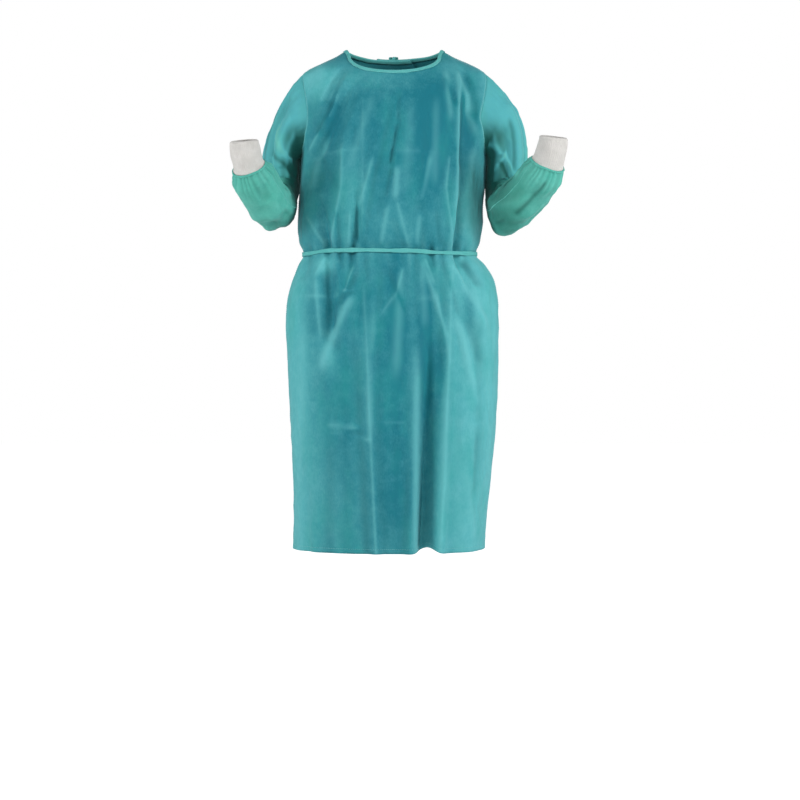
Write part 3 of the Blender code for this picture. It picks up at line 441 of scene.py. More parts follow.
def run_along(line: Array) -> Array:
    """How far along a line each of its points is."""
    return np.concatenate([[0.0], np.cumsum(np.linalg.norm(np.diff(line, axis=0), axis=1))])


def way_along(line: Array, closed: bool) -> Array:
    """The way along a line, or round a loop, at each of its points."""
    return unit(np.roll(line, -1, axis=0) - np.roll(line, 1, axis=0) if closed else np.gradient(line, axis=0))


def square_to(outs: Array, along: Array) -> Array:
    """The ways out, made square to the ways along."""
    return unit(outs - along * np.sum(outs * along, axis=1, keepdims=True))


def evened(ways: Array) -> Array:
    """A loop of ways, evened out six times with their neighbours."""
    for _ in range(6):
        ways = unit(np.roll(ways, 1, axis=0) + 2 * ways + np.roll(ways, -1, axis=0))
    return ways


def wrapped(angle: Array) -> Array:
    """An angle as one from -180 to 180 degrees."""
    return (angle + 180.0) % 360.0 - 180.0


def ease(share: Array) -> Array:
    """A share clamped to 0 and 1 that starts and stops gently."""
    share = np.clip(share, 0.0, 1.0)
    return share * share * (3.0 - 2.0 * share)


def carry(share: Array, start: Array, leave: Array, end: Array, arrive: Array) -> Array:
    """A smooth path from one value to another.

    Args:
        share: how much of the path is done.
        start: the first value.
        leave: how fast the path leaves it.
        end: the last value.
        arrive: how fast the path arrives there.

    Returns:
        The value at that share.
    """
    rest = 1 - share
    first = rest**2 * ((1 + 2 * share) * start + share * leave)
    return first + share**2 * ((1 + 2 * rest) * end - rest * arrive)


def bell(offset: Array, profile: Profile) -> Array:
    """The section of a fold, 1 at its middle.

    Args:
        offset: distance from the middle over the fold's width.
        profile: soft or pressed.

    Returns:
        The height of the section at each offset.
    """
    if profile is Profile.SOFT:
        return np.exp(-(offset**2))
    sharpness, rounding = 1.6, 0.2
    return np.exp(-sharpness * (np.sqrt(offset**2 + rounding**2) - rounding))


def by_face(front: Array, measure: Callable[[Face], Array]) -> Array:
    """A measure of the front's cloth where a place is on the front, and of the back's elsewhere."""
    return np.where(front, measure(FRONT), measure(BACK))


def turned(vectors: Array, axis: Array, angle: float) -> Array:
    """Vectors turned about an axis through the origin."""
    c, s = math.cos(angle), math.sin(angle)
    return vectors * c + np.cross(axis, vectors) * s + np.outer(vectors @ axis, axis) * (1 - c)


def grid_normals(points: Array, closed: bool) -> Array:
    """The way out of a grid of points at each, where a closed grid's columns join up into a tube."""
    along = np.roll(points, -1, 1) - np.roll(points, 1, 1) if closed else np.gradient(points, axis=1)
    return unit(np.cross(along, np.gradient(points, axis=0)))


def ripple(points: Array, scale: Sequence[float], seed: float) -> Array:
    """Smooth noise from -1 to 1, so many waves a metre, that depends only on place and runs on over seams."""
    places = points.reshape(-1, 3) * np.array(scale) + seed
    return np.array([noise.noise(Vector(place)) for place in places]).reshape(points.shape[:-1])


def ridged(points: Array, scale: Sequence[float], seed: float) -> Array:
    """The noise of ripple with its middle values drawn up to sharp ridges."""
    return 1 - 2 * np.abs(ripple(points, scale, seed))


def smooth_line(corners: Sequence[Sequence[float]], count: int) -> Array:
    """A smooth curve through corners.

    Args:
        corners: the points that it passes, in order.
        count: how many points it has.

    Returns:
        The curve's points.
    """
    knots = np.array(corners, float)
    ends = np.vstack([2 * knots[0] - knots[1], knots, 2 * knots[-1] - knots[-2]])
    at = np.linspace(0.0, len(knots) - 1 - 1e-9, count)
    i = at.astype(int)
    before, start, end, after = ends[i], ends[i + 1], ends[i + 2], ends[i + 3]
    return carry((at - i)[:, None], start, (end - before) / 2, end, (after - start) / 2)


def cloth_map(points: Array, closed: bool) -> Array:
    """The flat place of each point in the cloth, in metres.

    Args:
        points: rows by columns by 3.
        closed: whether the columns join up into a tube.

    Returns:
        Rows by columns by 2, with one more column where the tube closes.
    """
    grid = np.concatenate([points, points[:, :1]], axis=1) if closed else points
    across = np.linalg.norm(np.diff(grid, axis=1), axis=2)
    along = np.linalg.norm(np.diff(grid, axis=0), axis=2)
    u = np.concatenate([np.zeros((len(grid), 1)), np.cumsum(across, axis=1)], axis=1)
    v = np.concatenate([np.zeros((1, grid.shape[1])), np.cumsum(along, axis=0)], axis=0)
    return np.stack([u - u[:, u.shape[1] // 2 :][:, :1], v], axis=-1)


def link_object(name: str, data: bpy.types.ID) -> Piece:
    """Puts some data into the scene.

    Args:
        name: the name of its object.
        data: a mesh, lamp or camera.

    Returns:
        The object.
    """
    made = bpy.data.objects.new(name, data)
    bpy.context.scene.collection.objects.link(made)
    return made


def make_sheet(
    name: str,
    points: Array,
    closed: bool = False,
    flip: bool = False,
    values: dict[str, Array] | None = None,
) -> Piece:
    """A single layer of cloth from a grid of points, with its flat map.

    Args:
        name: the piece's name.
        points: rows by columns by 3.
        closed: whether the columns join up into a tube.
        flip: whether its faces are turned over.
        values: numbers at each point, by the name of their attribute.

    Returns:
        The new object.
    """
    rows, columns = points.shape[:2]
    index = np.arange(rows * columns).reshape(rows, columns)
    if closed:
        index = np.concatenate([index, index[:, :1]], axis=1)

    def corners(grid: Array) -> Array:
        """The four corners of each cell.

        Args:
            grid: rows by columns, with any values.

        Returns:
            Cells by 4, with the same values.
        """
        cells = np.stack([grid[:-1, :-1], grid[:-1, 1:], grid[1:, 1:], grid[1:, :-1]], axis=2)
        cells = cells.reshape(-1, 4, *grid.shape[2:])
        return cells[:, ::-1] if flip else cells

    mesh = bpy.data.meshes.new(name)
    mesh.from_pydata(points.reshape(-1, 3).tolist(), [], corners(index).tolist())
    layer = mesh.uv_layers.new(name=CLOTH_MAP)
    layer.uv.foreach_set("vector", corners(cloth_map(points, closed)).astype(np.float32).ravel())
    for key, numbers in (values or {}).items():
        attribute = mesh.attributes.new(key, "FLOAT", "POINT")
        numbers = np.broadcast_to(numbers, points.shape[:2])
        attribute.data.foreach_set("value", numbers.astype(np.float32).ravel())
    mesh.shade_smooth()
    return link_object(name, mesh)


def thicken(piece: Piece, thickness: float) -> Piece:
    """Gives a layer of cloth its thickness, inwards from its outside.

    Args:
        piece: the single layer.
        thickness: in metres.

    Returns:
        The same piece, with its thickness applied.
    """
    wall = piece.modifiers.new("thickness", "SOLIDIFY")
    wall.thickness = thickness
    wall.offset = -1.0
    bpy.ops.object.select_all(action="DESELECT")
    piece.select_set(True)
    bpy.context.view_layer.objects.active = piece
    bpy.ops.object.modifier_apply(modifier=wall.name)
    return piece


def make_strip(name: str, rings: Sequence[Array], closed: bool) -> Piece:
    """A strip of folded cloth.

    Args:
        name: the piece's name.
        rings: for each corner of its section, the line that the corner follows.
        closed: whether the strip's end joins its start.

    Returns:
        The new object, with its ends capped if it is open.
    """
    lines = np.array(rings)
    if closed:
        lines = np.concatenate([lines, lines[:, :1]], axis=1)
    piece = make_sheet(name, np.concatenate([lines, lines[:1]], axis=0))
    shape = bmesh.new()
    shape.from_mesh(piece.data)
    bmesh.ops.remove_doubles(shape, verts=shape.verts, dist=1e-6)
    if not closed:
        rims = [edge for edge in shape.edges if edge.is_boundary]
        bmesh.ops.holes_fill(shape, edges=rims, sides=0)
    bmesh.ops.recalc_face_normals(shape, faces=shape.faces)
    shape.to_mesh(piece.data)
    shape.free()
    piece.data.shade_smooth()
    return piece


def tape_profile(half: float, thick: float, fold: float) -> Array:
    """The section of a folded tape: two faces with a soft groove along the middle, and round edges.

    Args:
        half: half of its width.
        thick: its thickness.
        fold: how deep its groove is.

    Returns:
        The section's corners, as how far out and how far across.
    """
    across = np.linspace(-0.94, 0.94, TAPE_POINTS)
    face = thick / 2 * (1 - 0.35 * across**4) - fold * np.exp(-((across / 0.24) ** 2))
    top = np.stack([face, across * half], axis=1)
    edge = np.array([[0.0, half]])
    return np.concatenate([top, edge, top[::-1] * (-1, 1), -edge])


def dress(piece: Piece, material: Material, slot: str, *nodes: str) -> Piece:
    """Gives a piece its material and its place in the frame.

    Args:
        piece: the finished piece.
        material: its material.
        slot: a material slot's name; it is not used.
        nodes: the solids that it stands for.

    Returns:
        The same piece.
    """
    piece.data.materials.clear()
    piece.data.materials.append(material)
    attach(piece, "root")
    if nodes:
        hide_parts(*nodes)
    triangles = sum(len(face.vertices) - 2 for face in piece.data.polygons)
    LOG.info("%s: %d triangles", piece.name, triangles)
    return piece


@dataclass
class Body:
    """The form of the gown's body and the folds of its cloth."""

    levels: tuple[Level, ...] = BODY_LEVELS
    hem: float = -1.130
    underarm: float = -0.242
    shoulder: float = -0.050
    belt_low: float = -0.4655
    belt_high: float = -0.4530
    front_drop: float = 0.053
    back_drop: float = 0.016
    front_curve: float = 3.0
    back_curve: float = 2.0
    spacing_height: float = -0.70
    armhole_roundness: float = 0.62
    body_rows: int = 140
    armhole_steps: int = 36
    shoulder_steps: int = 8
    fold_calm: float = 2.4
    crease_calm: float = 3.4
    broad_crumple: float = 0.0016
    small_crumple: float = 0.0013
    fine_crumple: float = 0.0006
    side_swell: float = 0.0026
    swell_top: float = -0.230
    swell_foot: float = -0.430
    full_ridge: float = 0.0030
    full_trough: float = 0.0060
    gather_spread: float = 0.045

    @property
    def belt_middle(self) -> float:
        """The height of the belt's middle."""
        return (self.belt_low + self.belt_high) / 2

    @property
    def belt_height(self) -> float:
        """How high the belt's band is."""
        return self.belt_high - self.belt_low

    def read(self, column: str, height: Array) -> Array:
        """One column of the levels at any height.

        Args:
            column: the field of Level to read.
            height: where to read it.

        Returns:
            Its value on a smooth curve through the levels.
        """
        heights = np.array([level.height for level in self.levels])
        values = np.array([getattr(level, column) for level in self.levels])
        slopes = np.gradient(values, heights)
        at = np.clip(height, heights[0], heights[-1])
        i = np.clip(np.searchsorted(heights, at) - 1, 0, len(heights) - 2)
        after = i + 1
        span = heights[after] - heights[i]
        share = (at - heights[i]) / span
        return carry(share, values[i], span * slopes[i], values[after], span * slopes[after])

    def form(self, angle: Array, height: Array) -> Array:
        """Points on the plain form.

        Args:
            angle: round the body, 0 at the wearer's left and -90 at the front.
            height: along Z.

        Returns:
            A point for each.
        """
        turn = np.radians(angle)
        across, along = np.cos(turn), np.sin(turn)
        width = np.where(across > 0, self.read("left", height), self.read("right", height))
        depth = np.where(along > 0, self.read("back", height), self.read("front", height))
        power = 2.0 / self.read("roundness", height)
        x = width * np.sign(across) * np.abs(across) ** power
        y = depth * np.sign(along) * np.abs(along) ** power
        return np.stack([x, y, np.broadcast_to(height, x.shape)], axis=-1)

    def facing(self, angle: Array, height: Array) -> Array:
        """The way out of the plain form at each angle and height."""
        along = self.form(angle + 1.5, height) - self.form(angle - 1.5, height)
        return unit(np.cross(along, self.form(angle, height + 0.004) - self.form(angle, height - 0.004)))

    def fold_depth(self, folds: Sequence[Fold], x: Array, z: Array) -> Array:
        """How far folds move the cloth out of the form.

        Args:
            folds: the folds, each from its top to its foot.
            x: where along X.
            z: where along Z.

        Returns:
            The depth at each place.
        """
        depth = np.zeros_like(x)
        for fold in folds:
            run = (fold.top_z - z) / (fold.top_z - fold.foot_z)
            share = np.clip(run, 0.0, 1.0)
            middle = fold.top_x + (fold.foot_x - fold.top_x) * share
            width = fold.top_width + (fold.foot_width - fold.top_width) * share
            height = fold.top_depth + (fold.foot_depth - fold.top_depth) * share
            fade = ease(run / fold.fade) * ease((1.0 - run) / fold.fade)
            depth += height * fade * bell((x - middle) / width, fold.profile)
        return depth

    def level_depth(self, folds: Sequence[Fold], x: Array, z: Array) -> Array:
        """How far level creases move the cloth out of the form, as fold_depth does for upright ones."""
        swapped = [replace(f, top_x=f.top_z, top_z=f.top_x, foot_x=f.foot_z, foot_z=f.foot_x) for f in folds]
        return self.fold_depth(swapped, z, x)

    def belt_rise(self, x: Array, front: Array) -> Array:
        """How far the belt lies over its straight line.

        Args:
            x: where along X.
            front: whether it is on the front.

        Returns:
            The rise at each place, evened out over its neighbours.
        """
        steps = (0.0, 0.008, -0.008, 0.016, -0.016)
        rises = [by_face(front, lambda face: np.interp(x + step, BELT_PLACES, face.belt)) for step in steps]
        return sum(rises) / len(steps)

    def gather_depth(self, gathers: Sequence[Gather], x: Array, drop: Array) -> Array:
        """How far the small pleats at the belt move the cloth.

        Args:
            gathers: the pleats.
            x: where along X.
            drop: how far over the belt's middle.

        Returns:
            The depth at each place.
        """
        depth, off = np.zeros_like(x), np.abs(drop)
        for gather in gathers:
            reach = np.where(drop > 0, gather.above, gather.below)
            width = gather.width * (1 + off / self.gather_spread)
            middle = gather.x + gather.lean * off
            depth += gather.depth * np.exp(-((off / reach) ** 1.4)) * np.exp(-(((x - middle) / width) ** 2))
        return depth

    def cloth(self, angle: Array, height: Array) -> tuple[Array, Array]:
        """The outside of the cloth, with all its folds.

        Args:
            angle: round the body.
            height: along Z.

        Returns:
            A point for each, and how far its fine creases lift it, from -1 to 1, which paints highlight on
            their ridges and shade in their troughs.
        """
        base = self.form(angle, height)
        x, z = base[..., 0], base[..., 2]
        across = np.sin(np.radians(angle))
        front = across < 0
        drop = z - self.belt_middle - self.belt_rise(x, front)
        soft = by_face(front, lambda face: self.fold_depth(face.folds, x, z))
        fine = by_face(front, lambda face: self.fold_depth(face.creases, x, z))
        fine = fine + by_face(front, lambda face: self.level_depth(face.levels, x, z))
        gathered = by_face(front, lambda face: self.gather_depth(face.gathers, x, drop))
        calm = ease(self.crease_calm * np.abs(across))
        neck = ease((self.neck(angle) - z - 0.006) / 0.05)
        crumple = self.broad_crumple * ripple(base, (11, 11, 5), 3.1) * (0.35 + 0.65 * neck)
        crumple = crumple + self.small_crumple * ridged(base, (34, 34, 19), 7.7) * neck
        crumple = crumple + self.fine_crumple * ridged(base, (80, 80, 46), 12.9) * neck
        depth = soft * ease(self.fold_calm * np.abs(across)) + (fine * neck + gathered) * calm + crumple
        swell = ease((self.swell_top - z) / 0.02) * ease((z - self.swell_foot) / 0.03)
        depth = depth + self.side_swell * swell * np.exp(-((across / 0.3) ** 2))
        held = 1.0 - ease(np.abs(drop) / self.belt_height - 0.5)
        depth = depth * (1.0 - held) + np.minimum(depth, 0.0) * held
        # Painted highlight and shade: how far the fine creases and the gathers lift the cloth, which paints
        # their ridges lighter and their troughs darker.
        raised = (fine + 0.6 * gathered) * calm
        raised = np.where(raised > 0, raised / self.full_ridge, raised / self.full_trough)
        return base + self.facing(angle, height) * depth[..., None], np.clip(raised, -1.0, 1.0)

    def neck(self, angle: Array) -> Array:
        """The height of the neck edge.

        Args:
            angle: round the body.

        Returns:
            The height at each angle.
        """
        across = np.sin(np.radians(angle))
        front = self.front_drop * np.abs(across) ** self.front_curve
        return -np.where(across < 0, front, self.back_drop * np.abs(across) ** self.back_curve)

    def side_rows(self) -> Array:
        """The rows of the panels.

        Returns:
            Their heights at the side of the body, from the hem to the neck.
        """
        plain = np.linspace(self.hem, self.underarm, self.body_rows + 1)
        share = (1 - np.cos(np.pi * np.arange(1, self.armhole_steps + 1) / self.armhole_steps)) / 2
        armhole = self.underarm + (self.shoulder - self.underarm) * share
        over = np.linspace(self.shoulder, 0.0, self.shoulder_steps + 1)[1:]
        return np.concatenate([plain, armhole, over])

    def row_height(self, side_height: Array, angle: Array) -> Array:
        """The height of a row at each angle: above the underarm it bends to follow the neck edge."""
        bent = self.underarm + (1 - side_height / self.underarm) * (self.neck(angle) - self.underarm)
        return np.where(side_height > self.underarm, bent, side_height)

    def armhole_cut(self, side_height: Array, widest: float) -> Array:
        """How many degrees of the body the armhole takes from a panel at a row."""
        share = np.clip((side_height - self.underarm) / (self.shoulder - self.underarm), 0.0, 1.0)
        return widest * np.sin(np.pi * share) ** self.armhole_roundness

    def even_angles(self, low: float, high: float, count: int) -> Array:
        """Angles from low to high that lie evenly along the cloth at the hips.

        Args:
            low: the first angle.
            high: the last angle.
            count: how many steps there are.

        Returns:
            The angles.
        """
        fine = np.linspace(low, high, 800)
        run = run_along(self.form(fine, np.full_like(fine, self.spacing_height)))
        return np.interp(np.linspace(0.0, run[-1], count + 1), run, fine)

    def armhole_rows(self) -> range:
        """The rows that the armhole runs along, from the underarm to the shoulder."""
        return range(self.body_rows, self.body_rows + self.armhole_steps + 1)


@dataclass
class Panel:
    """One of the three panels of the gown's body."""

    name: str
    node: str
    body: Body
    start: float
    end: float
    columns: int
    start_cut: float
    end_cut: float
    lap: float = 0.0
    lap_from: float = 0.0
    lap_to: float = 0.0
    lap_radius: float = 0.19
    flat: tuple[float, float] = (0.74, 1.16)
    area: float = 0.74
    thickness: float = 0.0008
    hem_turn: float = 0.012
    hem_lift: float = 0.0007
    hem_edge: float = 0.003
    notch_x: float = 0.078
    notch_width: float = 0.020
    notch_rise: float = 0.012
    notch_reach: float = 0.080
    # Painted highlight along the armhole seams: how far it reaches, in degrees, and how strong it is.
    seam_reach: float = 1.1
    seam_light: float = 0.9
    points: Array = field(init=False)
    outs: Array = field(init=False)
    raised: Array = field(init=False)
    painted_shading: Array = field(init=False)

    def turned_up(self, edge: Array) -> Array:
        """How far the turned-up cloth lifts the panel, at distances from its edge."""
        return self.hem_lift * (1 - ease((edge - self.hem_turn) / self.hem_edge + 0.5))

    def lay_out(self) -> None:
        """Works out the panel's points and the way out of its cloth at each."""
        rows = self.body.side_rows()
        plain = self.body.even_angles(self.start, self.end, self.columns)
        share = (plain - plain[0]) / (plain[-1] - plain[0])
        low = plain[0] + self.body.armhole_cut(rows, self.start_cut)
        high = plain[-1] - self.body.armhole_cut(rows, self.end_cut)
        angle = low[:, None] + share[None, :] * (high - low)[:, None]
        height = self.body.row_height(rows[:, None], angle)
        points, raised = self.body.cloth(angle, height)
        outs = grid_normals(points, closed=False)
        offset = self.turned_up(height - self.body.hem)
        if self.lap:
            offset = offset + self.lap * ease((angle - self.lap_from) / (self.lap_to - self.lap_from))
        if self.lap > 0:
            offset = offset + self.turned_up(np.radians(self.end - angle) * self.lap_radius)
        notch = np.exp(-(((points[..., 0] - self.notch_x) / self.notch_width) ** 2)) * (points[..., 1] < 0)
        points[..., 2] += self.notch_rise * notch * (1 - ease((height - self.body.hem) / self.notch_reach))
        self.points = points + outs * offset[..., None]
        self.outs = grid_normals(self.points, closed=False)
        # Painted shade over the hollow behind the cloth, and painted light where it is below 0.
        self.painted_shading = self.shadow(np.sin(np.radians(angle)) < 0)
        near = np.full_like(angle, 360.0)
        if self.start_cut:
            near = np.minimum(near, angle - low[:, None])
        if self.end_cut:
            near = np.minimum(near, high[:, None] - angle)
        # Painted highlight along the armhole seams, above the underarm, added to the creases' painted highlight
        # and shade.
        seam_highlight = np.exp(-((near / self.seam_reach) ** 2)) * ease((height - self.body.underarm) / 0.02)
        self.raised = np.clip(raised + self.seam_light * seam_highlight, -1.0, 1.0)

    def shadow(self, front: Array) -> Array:
        """How far the cloth is painted darker, as painted shade for the hollow behind it.

        Args:
            front: whether each of the panel's points is on the front.

        Returns:
            The share for each; below 0 the cloth is painted lighter instead, as painted light.
        """
        x, z = self.points[..., 0], self.points[..., 2]
        skirt, bodice = (np.interp(x * PER_METRE, SHADING_PLACES, painted_shading) for painted_shading in (SKIRT_SHADING, BODICE_SHADING))
        share = np.where(z < -0.46, skirt, bodice) * np.where(front, 1.0, 0.8)
        for spot in SHADING_SPOTS:
            away = ((x - spot.x) / spot.wide) ** 2 + ((z - spot.z) / spot.tall) ** 2
            share = share + np.where(front, spot.share, 0.0) * np.exp(-away)
        return np.clip(share, -0.6, 1.3)

    def build(self, cloth: Material) -> Piece:
        """Makes the panel's cloth, which stands for its solid."""
        # The crease attribute carries painted highlight and shade; the painted shading carries painted shade
        # over the hollow and painted light.
        piece = make_sheet(self.name, self.points, values={PAINTED_HIGHLIGHT_AND_SHADE: self.raised, PAINTED_SHADING: self.painted_shading})
        return dress(thicken(piece, self.thickness), cloth, "gown_cloth", self.node)


@dataclass
class Sleeve:
    """A set-in sleeve that hangs from its armhole, turns at the elbow and ends in a knitted cuff."""

    side: Side
    first: Place
    tilt: float
    across: float
    deep: float
    cap_pull: float
    stretches: tuple[Stretch, ...]
    folds: tuple[Crease, ...]
    creases: tuple[Crease, ...]
    cuff: tuple[Stretch, ...]
    finer: int = 6
    cap_rings: int = 5
    cap_slope: tuple[float, float] = (0.75, -0.66)
    underarm_lean: float = 0.75
    underarm_pull: float = 0.85
    crease_fade: float = 0.06
    thickness: float = 0.0008
    broad_crumple: float = 0.0020
    small_crumple: float = 0.0016
    fine_crumple: float = 0.0007
    # How much painted shadow lies on the inner half of the forearm.
    forearm_shade: float = 0.0
    slack: float = 1.0
    slack_y: float = 0.056
    slack_width: float = 0.018
    end_gathers: int = 21
    end_gather_depth: float = 0.0010
    cap_tucks: int = 34
    cap_tuck_depth: float = 0.0008
    full_ridge: float = 0.003
    flat: tuple[float, float] = (0.42, 0.60)
    area: float = 0.19
    arm: list[tuple] = field(init=False)
    rings: Array = field(init=False)
    raised: Array = field(init=False)
    painted_shading: Array = field(init=False)

    @property
    def word(self) -> str:
        """The side as a word."""
        return self.side.name.lower()

    def frame(self) -> Array:
        """The frame of the first ring.

        Returns:
            The ways outward, to the front and along the arm.
        """
        tilt, side = math.radians(self.tilt), self.side.value
        outward = [side * math.cos(tilt), 0.0, math.sin(tilt)]
        return np.array([outward, [0.0, -1.0, 0.0], [side * math.sin(tilt), 0.0, -math.cos(tilt)]])

    def follow(
        self, start: Array, frame: Array, stretches: Sequence[Stretch], finer: int
    ) -> list[tuple[Array, Array, Stretch]]:
        """The way along an arm.

        Args:
            start: where the first ring's middle is.
            frame: the frame there.
            stretches: what the way follows.
            finer: how many rings there are for each of the solid's.

        Returns:
            For each ring its centre, its frame and the stretch it is on.
        """
        centre, rings = start.copy(), []
        for stretch in stretches:
            count = stretch.rings * finer
            step, bend = stretch.length / count, math.radians(stretch.turn) / count
            axis = unit(np.cross(frame[2], np.array(stretch.aim) * (self.side.value, 1.0, 1.0)))
            for _ in range(count):
                half = turned(frame, axis, bend / 2)
                chord = step if bend == 0 else step * math.sin(bend / 2) / (bend / 2)
                centre = centre + half[2] * chord
                frame = turned(frame, axis, bend)
                rings.append((centre, frame, stretch))
        return rings

    def tube(self, path: list[tuple], across: float, deep: float, columns: int) -> list[Array]:
        """Oval rings along a path, with half widths that run from one stretch's to the next.

        Args:
            path: what follow gives.
            across: the half width sideways before the first ring.
            deep: the half width fore and aft there.
            columns: how many points a ring has.

        Returns:
            The rings.
        """
        knots, sideways, foreaft = [0.0], [across], [deep]
        for count, (_, _, stretch) in enumerate(path, start=1):
            if count == len(path) or path[count][2] is not stretch:
                knots.append(float(count))
                sideways.append(stretch.across)
                foreaft.append(stretch.deep)
        at = np.arange(1, len(path) + 1)
        widths, depths = np.interp(at, knots, sideways), np.interp(at, knots, foreaft)
        return [self.ring(c, f, w, d, columns) for (c, f, _), w, d in zip(path, widths, depths)]

    def ring(self, centre: Array, frame: Array, across: float, deep: float, columns: int) -> Array:
        """The points of an oval ring, with its half widths sideways and fore and aft, from outward by front."""
        turn = turns(columns)[:, None]
        return centre + across * np.cos(turn) * frame[0] + deep * np.sin(turn) * frame[1]

    def armhole(self, front: Panel, back: Panel) -> tuple[Array, Array]:
        """The armhole's points from the shoulder by the front, with the way into the opening along the cloth.

        Args:
            front: the front panel.
            back: the back panel on this side.

        Returns:
            The points, and the way in at each.
        """
        front_edge, back_edge = (-1, 0) if self.side is Side.LEFT else (0, -1)
        rows = list(front.body.armhole_rows())
        points = np.concatenate([front.points[rows[::-1], front_edge], back.points[rows[1:-1], back_edge]])
        outs = evened(np.concatenate([front.outs[rows[::-1], front_edge], back.outs[rows[1:-1], back_edge]]))
        along = unit(np.roll(points, -2, axis=0) - np.roll(points, 2, axis=0))
        into = unit(np.cross(along, outs))
        into *= np.sign(np.sum(into * (points.mean(axis=0) - points), axis=1))[:, None]

        def with_middles(corners: Array) -> Array:
            """A closed loop's corners with the middle of each side put between them."""
            middles = (corners + np.roll(corners, -1, axis=0)) / 2
            return np.stack([corners, middles], axis=1).reshape(-1, 3)

        return with_middles(points), with_middles(evened(into))

    def cap(self, armhole: Array, into: Array, first_ring: Array) -> list[Array]:
        """Rings that carry the cloth from the armhole over the shoulder to the arm's first ring.

        Args:
            armhole: the armhole's points.
            into: the way into the opening at each.
            first_ring: the arm's first ring.

        Returns:
            The rings between the two.
        """
        top = ((1 + np.cos(turns(len(armhole)))) / 2)[:, None]
        along_body = (0.15 + 0.85 * (1 - top) ** 2) * into
        over = top * np.array([self.side.value * self.cap_slope[0], 0.0, self.cap_slope[1]])
        lean = (1 - top) * np.array([self.side.value * self.underarm_lean, 0.0, 0.0])
        pull = self.underarm_pull + (self.cap_pull - self.underarm_pull) * top
        reach = pull * np.linalg.norm(first_ring - armhole, axis=1)[:, None]
        leave, arrive = unit(along_body + over + lean) * reach, self.frame()[2] * reach
        steps = self.cap_rings * self.finer
        return [carry(t, armhole, leave, first_ring, arrive) for t in np.arange(1, steps) / steps]

    def crease_depth(self, creases: Sequence[Crease], rows: int, columns: int) -> Array:
        """How far folds move the sleeve's cloth.

        Args:
            creases: the folds.
            rows: how many rings there are.
            columns: how many points each has.

        Returns:
            The depth at each ring and column.
        """
        share = np.linspace(0.0, 1.0, rows)[:, None]
        angle = np.arange(columns)[None, :] * 360.0 / columns
        depth = np.zeros((rows, columns))
        for crease in creases:
            sweep = wrapped(crease.end_angle - crease.angle)
            rise = crease.end_share - crease.share
            if abs(sweep) / 360.0 > abs(rise):
                run = wrapped(angle - crease.angle) / sweep
                off = (share - crease.share - rise * run) * 360.0
            else:
                run = (share - crease.share) / rise
                off = wrapped(angle - crease.angle - sweep * run)
            fade = ease(0.5 + run / (2 * self.crease_fade)) * ease(0.5 + (1.0 - run) / (2 * self.crease_fade))
            depth += crease.depth * fade * np.exp(-((off / crease.width) ** 2))
        return depth * ease(share / 0.10) * ease((1.0 - share) / 0.06)

    def lay_out(self, front: Panel, back: Panel) -> None:
        """Works out the sleeve's rings from the armhole to the cuff.

        Args:
            front: the front panel.
            back: the back panel on this side.
        """
        side = self.side.value
        armhole, into = self.armhole(front, back)
        columns = len(armhole)
        start = np.array(self.first) * (side, 1.0, 1.0)
        first = self.ring(start, self.frame(), self.across, self.deep, columns)
        self.arm = self.follow(start, self.frame(), self.stretches, self.finer)
        arm = self.tube(self.arm, self.across, self.deep, columns)
        plain = np.array([armhole, *self.cap(armhole, into, first), first, *arm])
        share = np.linspace(0.0, 1.0, len(plain))[:, None]
        turn = turns(columns)[None, :]
        depth = self.crease_depth(self.folds, *plain.shape[:2])
        fine = self.crease_depth(self.creases, *plain.shape[:2])
        settled = ease(share / 0.05)
        crumple = self.broad_crumple * ripple(plain, (22, 22, 22), 5.3)
        crumple = crumple + self.small_crumple * ridged(plain, (34, 34, 34), 9.1)
        crumple = crumple + self.fine_crumple * ridged(plain, (80, 80, 80), 2.7)
        crumple = crumple * settled * ease((1.01 - share) / 0.08)
        phase = turn * self.end_gathers + 2.4 * np.sin(3 * turn + side) + 1.3 * np.sin(7 * turn)
        gathers = self.end_gather_depth * (np.cos(phase) - 0.4) * ease((share - 0.86) / 0.12)
        tucks = self.cap_tuck_depth * np.cos(turn * self.cap_tucks + 3 * np.sin(2 * turn))
        tucks = tucks * np.exp(-((share / 0.05) ** 2)) * settled
        outs = grid_normals(plain, closed=True) * side
        outer = plain + outs * (depth + fine + crumple + gathers + tucks)[..., None]
        near, y, drop = outer[..., 0] * side, outer[..., 1], -outer[..., 2]
        slack = self.slack * np.interp(drop, SLACK_DROPS, SLACK) * ease((0.255 - near) / 0.022)
        outer[..., 0] -= side * slack * np.exp(-(((y - self.slack_y) / self.slack_width) ** 2))
        # Painted shadow on the sleeve's inner side: below the armpit next to the body, and on the forearm's
        # inner half where forearm_shade is set.
        behind = ease((y + 0.10) / 0.04)
        inner_painted_shadow = behind * ease((0.262 - near) / 0.034) * ease((drop - 0.150) / 0.06)
        inner_painted_shadow = np.maximum(inner_painted_shadow, (1 - behind) * self.forearm_shade * ease((0.310 - near) / 0.085))
        # Painted highlight and shade from the folds and creases, with the painted shadow taken off.
        raised = np.clip((fine + 0.6 * gathers + 0.12 * depth) / self.full_ridge, -1.0, 1.0)
        self.raised = np.clip(raised - 1.25 * inner_painted_shadow, -1.25, 1.0)
        # Painted shade: the cloth is painted bluer towards the armhole, for the hollow behind it.
        self.painted_shading = np.repeat(1.0 - ease((share - 0.22) / 0.34), columns, axis=1)
        self.rings = outer

    def build(self, cloth: Material) -> Piece:
        """Makes the sleeve's cloth.

        Args:
            cloth: its material.

        Returns:
            The piece, which stands for its solid.
        """
